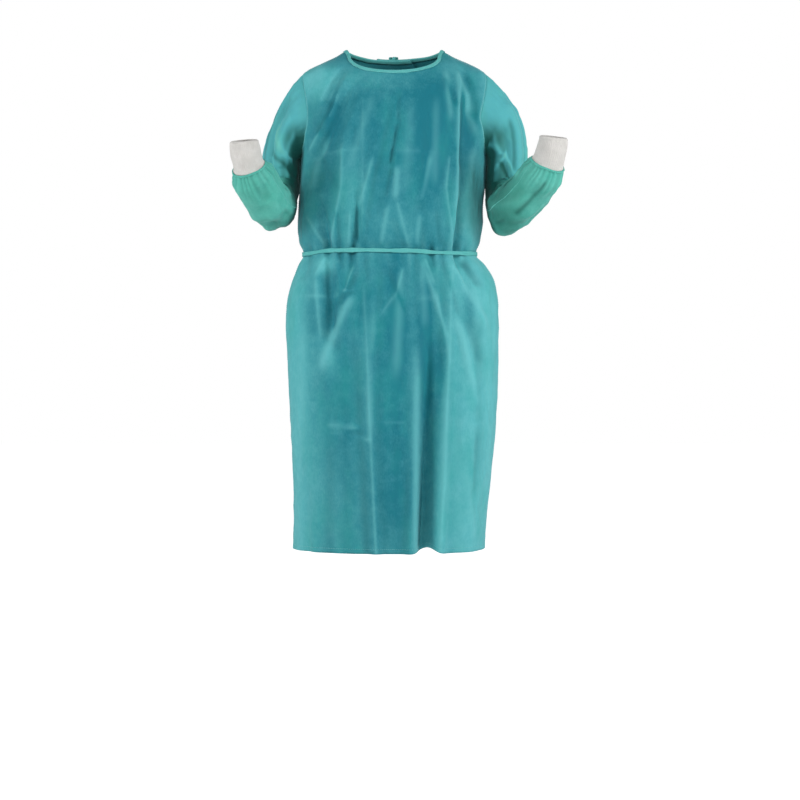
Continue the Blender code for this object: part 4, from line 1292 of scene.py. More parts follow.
        # The sleeve's painted highlight, shade and shadow, and its painted shade towards the armhole.
        values = {PAINTED_HIGHLIGHT_AND_SHADE: self.raised, PAINTED_SHADING: self.painted_shading}
        piece = make_sheet(f"sleeve_{self.word}_cloth", self.rings, True, self.side is Side.RIGHT, values)
        return dress(thicken(piece, self.thickness), cloth, "sleeve_cloth", f"sleeve_{self.word}")

    def seam_line(self) -> tuple[Array, Array]:
        """The underarm seam, from the armhole to the cuff.

        Returns:
            Its points, and the way out of the cloth at each.
        """
        outs = grid_normals(self.rings, closed=True) * self.side.value
        middle = self.rings.shape[1] // 2
        return self.rings[:, middle], outs[:, middle]


@dataclass
class Cuff:
    """A knitted cuff, sewn to a sleeve's gathered end."""

    sleeve: Sleeve
    ribs: int = 44
    steps_per_rib: int = 6
    finer: int = 12
    inset: float = 0.0006
    rib_depth: float = 0.00055
    thickness: float = 0.0017
    broad_slack: float = 0.0016
    small_slack: float = 0.0008
    waist: float = 0.0012
    roll: float = 0.0030
    edging_back: float = 0.0006
    edging_points: int = 240
    edging_corners: int = 12
    rings: Array = field(init=False)

    def lay_out(self) -> None:
        """Works out the cuff's rings from the sleeve's end to its free edge."""
        end, frame, last = self.sleeve.arm[-1]
        path = self.sleeve.follow(end, frame, self.sleeve.cuff, self.finer)
        columns = self.ribs * self.steps_per_rib
        first = self.sleeve.ring(end, frame, last.across - self.inset, last.deep - self.inset, columns)
        plain = np.array([first, *self.sleeve.tube(path, last.across, last.deep, columns)])
        outs = grid_normals(plain, closed=True) * self.sleeve.side.value
        turn = turns(columns)[None, :]
        share = np.linspace(0.0, 1.0, len(plain))[:, None]
        wander = 0.22 * np.sin(share * 7 + turn * 2) + 0.12 * np.sin(share * 17 + turn * 5)
        rib = np.sqrt(np.abs(np.cos(self.ribs * turn / 2 + wander))) * 2 - 1
        waist = self.waist * np.exp(-(((share - 0.16) / 0.12) ** 2))
        slack = self.broad_slack * ripple(plain, (24, 24, 30), 2.2)
        slack = (slack + self.small_slack * ripple(plain, (60, 60, 60), 4.4)) * ease(share / 0.15)
        edge = self.roll * ease((share - 0.94) / 0.06) ** 2
        tucked = 0.0009 * ease((0.04 - share) / 0.04)
        depth = self.rib_depth * rib * ease((1.03 - share) / 0.08) - waist + slack - edge - tucked
        self.rings = plain + outs * depth[..., None]

    def build(self, knit: Material) -> Piece:
        """Makes the cuff, which stands for its solid."""
        piece = make_sheet(f"cuff_{self.sleeve.word}_knit", self.rings, True, self.sleeve.side is Side.RIGHT)
        return dress(thicken(piece, self.thickness), knit, "cuff_knit", f"cuff_{self.sleeve.word}")

    def build_edging(self, cloth: Material) -> Piece:
        """Makes the narrow gathered band where the sleeve is sewn to the cuff.

        Args:
            cloth: its material.

        Returns:
            The piece.
        """
        end, frame, last = self.sleeve.arm[-1]
        turn = turns(self.edging_points)
        way = np.cos(turn)[:, None] * frame[0] + np.sin(turn)[:, None] * frame[1]
        middle = end - frame[2] * self.edging_back
        base = self.sleeve.ring(middle, frame, last.across, last.deep, self.edging_points)
        pucker = 0.0005 * np.cos(42 * turn + 2 * np.sin(3 * turn)) + 0.0004 * np.sin(17 * turn + 1)
        wander = 0.0007 * np.sin(2 * turn + 0.6) + 0.0005 * np.sin(5 * turn)
        lines = []
        for place in turns(self.edging_corners):
            out = 0.0012 + 0.0013 * math.cos(place) + pucker * (1 + math.cos(place)) / 2
            rise = 0.0029 * math.sin(place) + wander
            lines.append(base + way * out[:, None] + frame[2] * rise[:, None])
        return dress(make_strip(f"cuff_{self.sleeve.word}_edging", lines, closed=True), cloth, "sleeve_cloth")


@dataclass
class Binding:
    """The strip of cloth folded over the raw neck edge."""

    panels: tuple[Panel, Panel, Panel]
    depth: float = 0.0078
    stitch_depth: float = 0.0062
    clear: float = 0.0006
    thick: float = 0.0010
    cloth: float = 0.0015
    pucker: float = 0.00035

    def stations(self) -> tuple[Array, Array, Array]:
        """The neck edge, from the under back round the front.

        Returns:
            Its points, the ways out of the cloth, and the ways down it.
        """
        points, outs, downs = [], [], []
        for panel in self.panels:
            skip = 1 if points else 0
            edge, out = panel.points[-1, skip:], panel.outs[-1, skip:]
            points += list(edge[::2])
            outs += list(out[::2])
            downs += list(square_to(unit(panel.points[-2, skip:] - edge), out)[::2])
        outs, downs = np.array(outs), np.array(downs)
        for _ in range(3):
            outs[1:-1] = unit(outs[:-2] + 2 * outs[1:-1] + outs[2:])
            downs[1:-1] = unit(downs[:-2] + 2 * downs[1:-1] + downs[2:])
        return np.array(points), outs, downs

    def build(self, cloth: Material) -> Piece:
        """Makes the binding.

        Args:
            cloth: its material.

        Returns:
            The piece, which stands for its solid.
        """
        points, outs, downs = self.stations()
        run = run_along(points)
        pucker = self.pucker * (np.sin(run / 0.0021 + 2.0 * np.sin(run / 0.019)) + 0.6 * np.sin(run / 0.0065))
        foot = self.depth + 0.0004 * np.sin(run / 0.013) + 0.0003 * np.sin(run / 0.0047 + 1.0)
        outer = self.clear + self.thick
        wide = self.cloth / 2 + outer

        def line(out: float | Array, share: float) -> Array:
            """A line of the strip, so far out of the cloth and at a share of its way down."""
            return points + outs * np.reshape(out, (-1, 1)) + downs * (foot * share)[:, None]

        shares = (1.0, 0.78, 0.56, 0.34, 0.12)
        lines = [line(outer + pucker * (0.4 + 0.6 * math.sin(math.pi * f)), f) for f in shares]
        for turn in np.linspace(0.0, math.pi, 7):
            over = wide * math.cos(turn) - self.cloth / 2
            lines.append(points + outs * over - downs * (wide * 0.55 * math.sin(turn)))
        lines += [line(-self.cloth - outer, f) for f in (0.3, 0.65, 1.0)]
        lines += [line(-self.cloth - self.clear, f) for f in (1.0, 0.5, 0.0)]
        lines += [line(self.clear, f) for f in (0.0, 0.5, 1.0)]
        strip = make_strip("neck_binding_strip", lines, closed=False)
        return dress(strip, cloth, "tie_cloth", "neck_binding")


@dataclass
class Belt:
    """The waist tie's band, drawn across the gathers that it holds."""

    body: Body
    stations: int = 420
    clear: float = 0.0010
    thick: float = 0.0020
    step: float = 7.0
    outer_lap: float = 0.0034
    lap_from: float = 49.0
    lap_width: float = 24.0
    lap_end: float = 107.0
    groove: float = 0.0005
    groove_place: float = 0.15
    groove_width: float = 0.22

    def build(self, cloth: Material) -> Piece:
        """Makes the band.

        Args:
            cloth: its material.

        Returns:
            The piece, which stands for its solid.
        """
        angle = self.body.even_angles(-180.0, 180.0, self.stations)[:-1]
        height = np.full_like(angle, self.body.belt_low)
        base = self.body.form(angle, height)
        out = unit(self.body.facing(angle, height) * (1.0, 1.0, 0.0))
        lap = self.outer_lap * ease((angle - self.lap_from) / self.lap_width)
        lap *= 1.0 - ease((angle - self.lap_end - self.step) / self.step)
        middle = self.body.belt_middle + self.body.belt_rise(base[:, 0], np.sin(np.radians(angle)) < 0)
        run = run_along(base)
        around = run / (run[-1] + run[1]) * TURN
        wide = 0.72 + 0.08 * np.sin(7 * around + 1) + 0.06 * np.sin(19 * around) + 0.03 * np.sin(43 * around)
        groove = self.groove * (1 + 0.7 * np.sin(5 * around + 2))
        lean = 0.10 * np.sin(4 * around) + 0.07 * np.sin(11 * around + 0.5)
        half = self.body.belt_height / 2
        lines = []
        for corner, (thick, across) in enumerate(tape_profile(half, self.thick, 0.0)):
            outwards = self.clear + self.thick / 2 + lap + thick + lean * across * 0.6
            if corner < TAPE_POINTS:
                outwards -= groove * math.exp(-((across / half - self.groove_place) / self.groove_width) ** 2)
            line = base + out * outwards[:, None]
            line[:, 2] = middle + across * wide
            lines.append(line)
        return dress(make_strip("belt_tape", lines, closed=True), cloth, "tie_cloth", "belt")


@dataclass(frozen=True)
class End:
    """A tie's free end: its angle at the knot and at its foot, and its length."""

    top_angle: float
    foot_angle: float
    length: float


@dataclass
class Tie:
    """A knot at the centre back, with two free ends."""

    name: str
    body: Body
    height: float
    lift: float
    wide: float
    tall: float
    deep: float
    tape: float
    ends: tuple[End, End]
    clear: float = 0.0020
    spread: float = 3.5
    drop: float = 7.0
    outer_lap: float = 0.0034
    thick: float = 0.0011
    groove: float = 0.00025
    least_width: float = 0.010

    def flat(self, end: End) -> tuple[float, float]:
        """The cut of a free end."""
        return max(self.tape * 2, self.least_width), end.length

    def swept(self, name: str, line: Array, outs: Array, half: float, closed: bool) -> Piece:
        """A tape along a line.

        Args:
            name: the piece's name.
            line: the points that its middle follows.
            outs: the way out of its face at each.
            half: half of its width.
            closed: whether it is a loop.

        Returns:
            The new object.
        """
        along = way_along(line, closed)
        outs = square_to(outs, along)
        across = np.cross(along, outs)
        lines = [line + outs * o + across * a for o, a in tape_profile(half, self.thick, self.groove)]
        return make_strip(name, lines, closed)

    def knot(self) -> list[Piece]:
        """Makes the knot.

        Returns:
            Its tapes: one round the middle, and two that cross under it.
        """
        angle, height = np.array([90.0]), np.array([self.height])
        centre = (self.body.form(angle, height) + self.body.facing(angle, height) * self.lift)[0]
        right, out, up = np.eye(3)
        turn = turns(40)[:, None]
        lean = right * 0.35 * self.tall * np.sin(turn)
        ring = centre + up * self.tall * 0.86 * np.sin(turn) + out * self.deep * 0.86 * np.cos(turn) + lean
        way = unit(up * np.sin(turn) / self.tall + out * np.cos(turn) / self.deep)
        made = [self.swept(f"{self.name}_wrap", ring, way, self.wide * 0.34, True)]
        for side, word, high in ((1, "left", 0.74), (-1, "right", 0.60)):
            corners = [
                (-1.00 * side, 0.10, -0.75), (-0.78 * side, 0.34, 0.10), (-0.34 * side, 0.30, high),
                (0.16 * side, -0.08, high * 0.9), (0.52 * side, -0.52, 0.35), (0.60 * side, -0.95, -0.25),
            ]
            line = smooth_line(corners, 30) * (self.wide, self.tall, self.deep)
            line = centre + line[:, [0, 2, 1]]
            way = unit((line - centre) * (0.4, 1.0, 0.7) + out * self.deep * 0.9)
            made.append(self.swept(f"{self.name}_cross_{word}", line, way, self.tape * 0.82, False))
        return made

    def free_end(self, end: End, word: str) -> Piece:
        """A free end, hanging down the back from the knot.

        Args:
            end: its angles and length.
            word: which of the two it is.

        Returns:
            The new object.
        """
        share = np.linspace(0.0, 1.0, 90)
        height = self.height - share * end.length
        sway = 0.5 * np.sin(share * 7.0 + end.length * 40) * share
        angle = end.top_angle + (end.foot_angle - end.top_angle) * share + sway
        base, out = self.body.form(angle, height), self.body.facing(angle, height)
        rests = []
        for step in (-self.spread, 0.0, self.spread):
            cloth, _ = self.body.cloth(angle + step, height)
            rests.append(np.sum((cloth - base) * out, axis=1))
        lift = np.max(rests, axis=0) + self.outer_lap + self.clear
        lift = np.maximum(lift, self.lift - 0.5 * self.thick - self.drop * (share * end.length) ** 1.3)
        for _ in range(8):
            lift[1:-1] = np.maximum(lift[1:-1], (lift[:-2] + 2 * lift[1:-1] + lift[2:]) / 4)
        line = base + out * lift[:, None]
        across = unit(np.cross(out, np.gradient(line, axis=0)))
        twist = 0.22 * np.sin(share * 9.0 + end.top_angle)[:, None]
        face = out * np.cos(twist) + across * np.sin(twist)
        return self.swept(f"{self.name}_end_{word}", line, face, self.tape, False)

    def build(self, cloth: Material) -> list[Piece]:
        """Makes the knot and its free ends.

        Args:
            cloth: their material.

        Returns:
            The pieces, with the free ends last; the first stands for the solid.
        """
        first, *others = self.knot()
        others += [self.free_end(end, word) for end, word in zip(self.ends, ("left", "right"))]
        dress(first, cloth, "tie_cloth", self.name)
        return [first] + [dress(piece, cloth, "tie_cloth") for piece in others]


@dataclass
class Sewing:
    """The rows of stitches along the gown's seams and hems."""

    length: float = 0.0030
    pitch: float = 0.0044
    thread: float = 0.00034
    proud: float = 0.0002

    def model(self) -> Piece:
        """Models one stitch: a short thread that dips into the cloth at both ends.

        Returns:
            The stitch, along X.
        """
        bpy.ops.object.select_all(action="DESELECT")
        bpy.ops.mesh.primitive_cylinder_add(
            vertices=6, radius=self.thread, depth=self.length / 2, rotation=(0.0, TURN / 4, 0.0)
        )
        stitch = bpy.context.object
        bpy.ops.object.transform_apply(location=False, rotation=True, scale=True)
        for way in (-1, 1):
            bpy.ops.object.mode_set(mode="EDIT")
            bpy.ops.mesh.select_mode(type="FACE")
            bpy.ops.mesh.select_all(action="DESELECT")
            bpy.ops.object.mode_set(mode="OBJECT")
            for face in stitch.data.polygons:
                face.select = face.normal.x * way > 0.9
            bpy.ops.object.mode_set(mode="EDIT")
            move = (way * self.length * 0.25, 0.0, -self.thread * 1.6)
            bpy.ops.mesh.extrude_region_move(TRANSFORM_OT_translate={"value": move})
            bpy.ops.transform.resize(value=(1.0, 0.7, 0.7))
            bpy.ops.object.mode_set(mode="OBJECT")
        return stitch

    def sew(
        self, name: str, line: Array, outs: Array, stitch: Piece, thread: Material
    ) -> Piece:
        """A row of stitches along a line.

        Args:
            name: the row's name.
            line: the points that it follows.
            outs: the way out of the cloth at each.
            stitch: the stitch that is copied.
            thread: its material.

        Returns:
            The row, as one piece.
        """
        run = run_along(line)
        at = np.arange(self.pitch / 2, run[-1], self.pitch)

        def read(values: Array, places: Array) -> Array:
            """The values of a line's points at places along it."""
            return np.stack([np.interp(places, run, values[:, axis]) for axis in range(3)], axis=1)

        middle = read(line, at)
        along = unit(read(line, at + self.pitch / 4) - middle)
        out = square_to(unit(read(outs, at)), along)
        across = np.cross(out, along)
        model = np.array([vertex.co[:] for vertex in stitch.data.vertices])
        points = (
            middle[:, None] + model[None, :, :1] * along[:, None] + model[None, :, 1:2] * across[:, None]
            + (model[None, :, 2:] + self.proud) * out[:, None]
        )
        corners = [list(face.vertices) for face in stitch.data.polygons]
        faces = [[v + k * len(model) for v in face] for k in range(len(at)) for face in corners]
        mesh = bpy.data.meshes.new(name)
        mesh.from_pydata(points.reshape(-1, 3).tolist(), [], faces)
        mesh.shade_smooth()
        return dress(link_object(name, mesh), thread, "tie_cloth")


def welt(
    name: str,
    line: Array,
    outs: Array,
    cloth: Material,
    slot: str,
    closed: bool = False,
    light: float = 0.0,
) -> Piece:
    """The low ridge that a seam's turned-in edges raise along it.

    Args:
        name: the piece's name.
        line: the seam's points.
        outs: the way out of the cloth at each.
        cloth: its material.
        slot: its material slot.
        closed: whether the seam is a loop.
        light: how much lighter than the cloth it is, up to 1, as a painted highlight.

    Returns:
        The piece.
    """
    half_width, height, sunk = 0.0014, 0.0004, 0.0002
    along = way_along(line, closed)
    outs = square_to(outs, along)
    across = np.cross(along, outs)
    run = run_along(line)
    swell = (1 + 0.18 * np.sin(run / 0.0035) + 0.12 * np.sin(run / 0.011))[:, None]
    lines = []
    for turn in turns(8):
        off = outs * (height * math.sin(turn) - sunk) + across * half_width * math.cos(turn)
        lines.append(line + off * swell)
    piece = make_strip(name, lines, closed)
    # The welt's painted highlight, through the crease attribute.
    shade = piece.data.attributes.new(PAINTED_HIGHLIGHT_AND_SHADE, "FLOAT", "POINT")
    shade.data.foreach_set("value", np.full(len(piece.data.vertices), light))
    return dress(piece, cloth, slot)


class Tree:
    """A node tree that is filled node by node."""

    def __init__(self, tree: NodeTree) -> None:
        """Holds the tree to fill."""
        self.tree = tree

    def fill(self, node: Node, inputs: dict) -> None:
        """Fills a node's sockets.

        Args:
            node: the node.
            inputs: what goes into its sockets, as values or as other nodes' outputs.
        """
        for name, value in inputs.items():
            if isinstance(value, Socket):
                self.tree.links.new(value, node.inputs[name])
            else:
                node.inputs[name].default_value = value

    def add(self, kind: str, inputs: dict | None = None, **settings: object) -> Node:
        """Adds a node.

        Args:
            kind: the node's type.
            inputs: what goes into its sockets.
            settings: its own settings.

        Returns:
            The node.
        """
        node = self.tree.nodes.new(kind)
        for name, value in settings.items():
            setattr(node, name, value)
        self.fill(node, inputs or {})
        return node

    def math(self, operation: str, first: object, second: object = 0.0) -> Socket:
        """A sum of two values, or another operation on them."""
        return self.add("ShaderNodeMath", {0: first, 1: second}, operation=operation).outputs[0]

    def blend(self, share: object, first: object, second: object) -> Socket:
        """A colour between two others."""
        return self.add("ShaderNodeMix", {0: share, 6: first, 7: second}, data_type="RGBA").outputs[2]

    def noise(self, place: Socket, scale: float, detail: float, **others: float) -> Socket:
        """The value of a noise at a place."""
        inputs = {"Vector": place, "Scale": scale, "Detail": detail, **others}
        return self.add("ShaderNodeTexNoise", inputs).outputs["Fac"]

    def spread(self, value: object, low: float, high: float, new_low: float, new_high: float) -> Socket:
        """A value moved from the range of low and high to a new one."""
        return self.add("ShaderNodeMapRange", {0: value, 1: low, 2: high, 3: new_low, 4: new_high}).outputs[0]


def new_group(name: str, inputs: dict[str, str], outputs: dict[str, str]) -> tuple[Tree, Node]:
    """An empty node group with its sockets.

    Args:
        name: its name.
        inputs: the type of each input.
        outputs: the type of each output.

    Returns:
        The group's tree, and the node that its inputs come from.
    """
    group = bpy.data.node_groups.new(name, "ShaderNodeTree")
    for way, sockets in (("INPUT", inputs), ("OUTPUT", outputs)):
        for socket, kind in sockets.items():
            group.interface.new_socket(socket, in_out=way, socket_type=f"NodeSocket{kind}")
    tree = Tree(group)
    return tree, tree.add("NodeGroupInput")


def nonwoven_grain() -> NodeTree:
    """The look of non-woven cloth: clumps of fibres, fine flecks, rows of tiny pressed bonds, and the painted
    highlight, shade and light that the attributes carry.

    Returns:
        The node group.
    """
    bond_spacing = 0.0030
    inputs = {name: "Color" for name in ("Shade", "Light", "Deep", "Under", "Green")}
    inputs |= {"Mottle": "Float", "Crease": "Float", "Painted_Shading": "Float"}
    tree, given = new_group("nonwoven_grain", inputs, LOOK)
    shade, light, deep, under, green, mottle, crease, painted_shading = (given.outputs[name] for name in inputs)
    place = tree.add("ShaderNodeTexCoord").outputs["Object"]
    clump = tree.noise(place, 46.0, 5.0, Roughness=0.62)
    drawn = tree.add("ShaderNodeMapping", {"Vector": place, "Scale": (1.0, 1.0, 0.45)}).outputs[0]
    fleck = tree.noise(drawn, 330.0, 3.0, Roughness=0.7)
    broad = tree.noise(drawn, 7.0, 3.0, Roughness=0.5)
    mixed = tree.math("ADD", tree.math("MULTIPLY", clump, 0.40), tree.math("MULTIPLY", fleck, 0.35))
    mixed = tree.math("ADD", mixed, tree.math("MULTIPLY", broad, 0.25))
    colour = tree.blend(tree.math("MULTIPLY", tree.spread(mixed, 0.40, 0.60, 0.0, 1.0), mottle), shade, light)
    # Painted shade: where the painted shading is above 0 the colour goes towards the painted shade colour
    # (under), more where the mottle is low; below 0 it goes towards the light colour, as painted light.
    shade_share = tree.math("MULTIPLY", tree.math("MAXIMUM", painted_shading, 0.0), tree.spread(mixed, 0.36, 0.64, 1.08, 0.74))
    colour = tree.blend(shade_share, colour, under)
    colour = tree.blend(tree.math("MULTIPLY", tree.math("MINIMUM", painted_shading, 0.0), -1.0), colour, light)
    patches = tree.noise(drawn, 13.0, 4.0, Roughness=0.6)
    colour = tree.blend(tree.spread(patches, 0.46, 0.68, 0.0, 0.34), colour, green)
    # Painted highlight on crease ridges and seams, towards the light colour; painted shade in troughs and on
    # the sleeves' inner sides, towards the deep colour.
    raised = tree.math("MULTIPLY", tree.math("MAXIMUM", crease, 0.0), 0.55)
    sunk = tree.math("MULTIPLY", tree.math("MINIMUM", crease, 0.0), -0.75)
    colour = tree.blend(sunk, tree.blend(raised, colour, light), deep)
    flat = tree.add("ShaderNodeUVMap", uv_map=CLOTH_MAP).outputs[0]
    flat = tree.add("ShaderNodeVectorMath", {0: flat, "Scale": TURN / bond_spacing}, operation="SCALE")
    parts = tree.add("ShaderNodeSeparateXYZ", {0: flat.outputs[0]})
    slant = tree.math("SINE", tree.math("ADD", parts.outputs[0], parts.outputs[1]))
    other = tree.math("SINE", tree.math("SUBTRACT", parts.outputs[0], parts.outputs[1]))
    bonds = tree.math("MAXIMUM", tree.math("MULTIPLY", slant, other), 0.0)
    wrinkles = tree.noise(drawn, 70.0, 2.0, Distortion=0.8)
    sharp = tree.math("ABSOLUTE", tree.math("SUBTRACT", wrinkles, 0.5))
    height = tree.math("ADD", fleck, tree.math("MULTIPLY", clump, 0.6))
    height = tree.math("SUBTRACT", height, tree.math("MULTIPLY", bonds, 0.30))
    height = tree.math("SUBTRACT", height, tree.math("MULTIPLY", sharp, 3.2))
    rough = tree.spread(fleck, 0.3, 0.7, 0.62, 0.78)
    tree.add("NodeGroupOutput", {"Color": colour, "Roughness": rough, "Height": height})
    return tree.tree


def knit_loops() -> NodeTree:
    """The look of a ribbed knit: rows of loops on the ribs, with fine fluff.

    Returns:
        The node group.
    """
    inputs = {"Shade": "Color", "Light": "Color", "Course": "Float", "Wale": "Float"}
    tree, given = new_group("knit_loops", inputs, LOOK)
    parts = tree.add("ShaderNodeSeparateXYZ", {0: tree.add("ShaderNodeUVMap", uv_map=CLOTH_MAP).outputs[0]})
    wale = tree.math("DIVIDE", parts.outputs[0], given.outputs["Wale"])
    wale = tree.math("ABSOLUTE", tree.math("SINE", tree.math("MULTIPLY", wale, math.pi)))
    course = tree.math("DIVIDE", parts.outputs[1], given.outputs["Course"])
    course = tree.math("ADD", course, tree.math("MULTIPLY", wale, 0.4))
    loop = tree.math("ABSOLUTE", tree.math("SINE", tree.math("MULTIPLY", course, math.pi)))
    place = tree.add("ShaderNodeTexCoord").outputs["Object"]
    fluff = tree.noise(place, 700.0, 3.0, Roughness=0.7)
    tone = tree.noise(place, 60.0, 3.0, Roughness=0.5)
    yarn = tree.math("MULTIPLY", tree.math("ADD", loop, wale), 0.5)
    height = tree.math("ADD", tree.math("MULTIPLY", yarn, 0.8), tree.math("MULTIPLY", fluff, 0.35))
    share = tree.math("ADD", tree.math("MULTIPLY", yarn, 0.6), tree.math("MULTIPLY", tone, 0.5))
    share = tree.spread(share, 0.25, 0.95, 0.0, 1.0)
    colour = tree.blend(share, given.outputs["Shade"], given.outputs["Light"])
    rough = tree.spread(fluff, 0.3, 0.7, 0.85, 0.98)
    tree.add("NodeGroupOutput", {"Color": colour, "Roughness": rough, "Height": height})
    return tree.tree


@dataclass(frozen=True)
class Finish:
    """What every finish has: its name and its two main colours."""

    name: str
    shade: Colour
    light: Colour

    def start(self) -> tuple[Material, Tree]:
        """Starts the material.

        Returns:
            The material, and its tree.
        """
        material = bpy.data.materials.new(self.name)
        material.use_nodes = True
        return material, Tree(material.node_tree)

    def finish(self, tree: Tree, height: Socket, strength: float, distance: float, inputs: dict) -> None:
        """Fills the shader: a bump of some strength, its depth in metres, and the other sockets' inputs."""
        bump = tree.add("ShaderNodeBump", {"Height": height, "Strength": strength, "Distance": distance})
        tree.fill(tree.tree.nodes["Principled BSDF"], inputs | {"Normal": bump.outputs["Normal"]})


@dataclass(frozen=True)
class Nonwoven(Finish):
    """A non-woven cloth finish."""

    # deep is the painted shade colour of troughs and of the sleeves' inner sides; under is the painted shade
    # colour over the hollow behind the cloth; the light colour also serves as painted highlight and painted
    # light.
    deep: Colour
    under: Colour
    green: Colour
    mottle: float = 0.60
    sheen: float = 0.11
    bump: float = 0.30

    def make(self, grain: NodeTree) -> Material:
        """Makes the material.

        Args:
            grain: the non-woven node group.

        Returns:
            The material.
        """
        material, tree = self.start()
        values = {"Shade": self.shade, "Light": self.light, "Deep": self.deep, "Under": self.under}
        values |= {"Green": self.green, "Mottle": self.mottle}
        # The painted highlight and shade, and the painted shading, come from each piece's attributes.
        for name in (PAINTED_HIGHLIGHT_AND_SHADE, PAINTED_SHADING):
            values[name.title()] = tree.add("ShaderNodeAttribute", attribute_name=name).outputs["Fac"]
        look = tree.add("ShaderNodeGroup", values, node_tree=grain).outputs
        self.finish(tree, look["Height"], self.bump, 0.0008, {
            "Base Color": look["Color"], "Roughness": look["Roughness"], "Specular IOR Level": 0.22,
            "Sheen Weight": self.sheen, "Sheen Roughness": 0.45, "Sheen Tint": (0.72, 0.98, 1.0, 1.0),
        })
        return material


@dataclass(frozen=True)
class Knit(Finish):
    """A ribbed knit finish."""

    course: float = 0.0013
    wale: float = 0.0024

    def make(self, loops: NodeTree) -> Material:
        """Makes the material.

        Args:
            loops: the knit node group.

        Returns:
            The material.
        """
        material, tree = self.start()
        values = {"Shade": self.shade, "Light": self.light, "Course": self.course, "Wale": self.wale}
        look = tree.add("ShaderNodeGroup", values, node_tree=loops).outputs
        self.finish(tree, look["Height"], 0.45, 0.0007, {
            "Base Color": look["Color"], "Roughness": look["Roughness"],
            "Specular IOR Level": 0.2, "Sheen Weight": 0.25,
        })
        return material


@dataclass(frozen=True)
class Thread(Finish):
    """A twisted sewing thread."""

    def make(self) -> Material:
        """Makes the material.

        Returns:
            The material.
        """
        material, tree = self.start()
        place = tree.add("ShaderNodeTexCoord").outputs["Object"]
        inputs = {"Vector": place, "Scale": 900.0, "Distortion": 2.0}
        ply = tree.add("ShaderNodeTexWave", inputs, bands_direction="DIAGONAL").outputs["Fac"]
        colour = tree.blend(ply, self.shade, self.light)
        self.finish(tree, ply, 0.4, 0.0002, {"Base Color": colour, "Roughness": 0.6})
        return material


def stand(thing: Piece, place: Place, target: Place) -> None:
    """Puts a lamp or camera in its place, aimed at its target."""
    thing.location = place
    thing.rotation_euler = (Vector(target) - Vector(place)).to_track_quat("-Z", "Y").to_euler()


@dataclass(frozen=True)
class Lamp:
    """A soft square white light: where it stands, what it is aimed at, its size and power."""

    name: str
    place: Place
    target: Place
    size: float
    power: float

    def build(self) -> None:
        """Adds the light."""
        data = bpy.data.lights.new(self.name, "AREA")
        data.shape, data.size, data.energy = "SQUARE", self.size, self.power
        stand(link_object(self.name, data), self.place, self.target)


@dataclass
class Studio:
    """The camera, the lights, and the plain pale floor."""

    eye: Place = (0.0148, -5.0, -0.657)
    target: Place = (0.0148, 0.0, -0.7934)
    lens: float = 98.7
    reach: float = 60.0
    floor: float = -1.560
    floor_half: float = 14.0
    floor_glow: float = 0.80
    world: float = 0.24
    lamps: tuple[Lamp, ...] = (
        Lamp("front_light", (-0.5, -4.2, 1.3), (0.0, 0.0, -0.6), 1.6, 42.0),
        Lamp("left_light", (-2.7, -1.5, 0.3), (0.0, 0.0, -0.6), 1.2, 46.0),
        Lamp("right_light", (2.7, -1.7, 0.5), (0.0, 0.0, -0.5), 1.1, 66.0),
        Lamp("back_light", (0.3, 3.6, 1.6), (0.0, 0.0, -0.4), 2.0, 60.0),
    )

    def build(self) -> None:
        """Sets up the camera, lights, world and floor."""
        data = bpy.data.cameras.new("camera")
        data.lens, data.clip_end = self.lens, self.reach
        camera = link_object("camera", data)
        stand(camera, self.eye, self.target)
        bpy.context.scene.camera = camera
        for lamp in self.lamps:
            lamp.build()
        self.build_world()
        self.build_floor()
        bpy.context.scene.view_settings.view_transform = "Standard"
        bpy.context.scene.view_settings.look = "None"

    def build_world(self) -> None:
        """Makes the white surroundings: full white where they are seen, softer where they light the gown."""
        world = bpy.data.worlds.new("studio_world")
        bpy.context.scene.world = world
        world.use_nodes = True
        tree = Tree(world.node_tree)
        seen = tree.add("ShaderNodeLightPath").outputs["Is Camera Ray"]
        strength = tree.spread(seen, 0.0, 1.0, self.world, 1.0)
        tree.fill(world.node_tree.nodes["Background"], {"Color": WHITE, "Strength": strength})

    def build_floor(self) -> None:
        """Makes the plain pale floor."""
        places = np.linspace(-self.floor_half, self.floor_half, 3)
        floor = make_sheet("studio_floor", np.array([[(x, y, self.floor) for x in places] for y in places]))
        material = bpy.data.materials.new("studio_floor_paint")
        material.use_nodes = True
        tree = Tree(material.node_tree)
        tone = tree.noise(tree.add("ShaderNodeTexCoord").outputs["Object"], 1.2, 2.0)
        seen = tree.add("ShaderNodeLightPath").outputs["Is Camera Ray"]
        tree.fill(tree.tree.nodes["Principled BSDF"], {
            "Base Color": tree.blend(tone, (0.90, 0.90, 0.90, 1.0), (0.94, 0.94, 0.94, 1.0)),
            "Roughness": 0.9, "Emission Color": WHITE,
            "Emission Strength": tree.math("MULTIPLY", seen, self.floor_glow),
        })
        floor.data.materials.append(material)


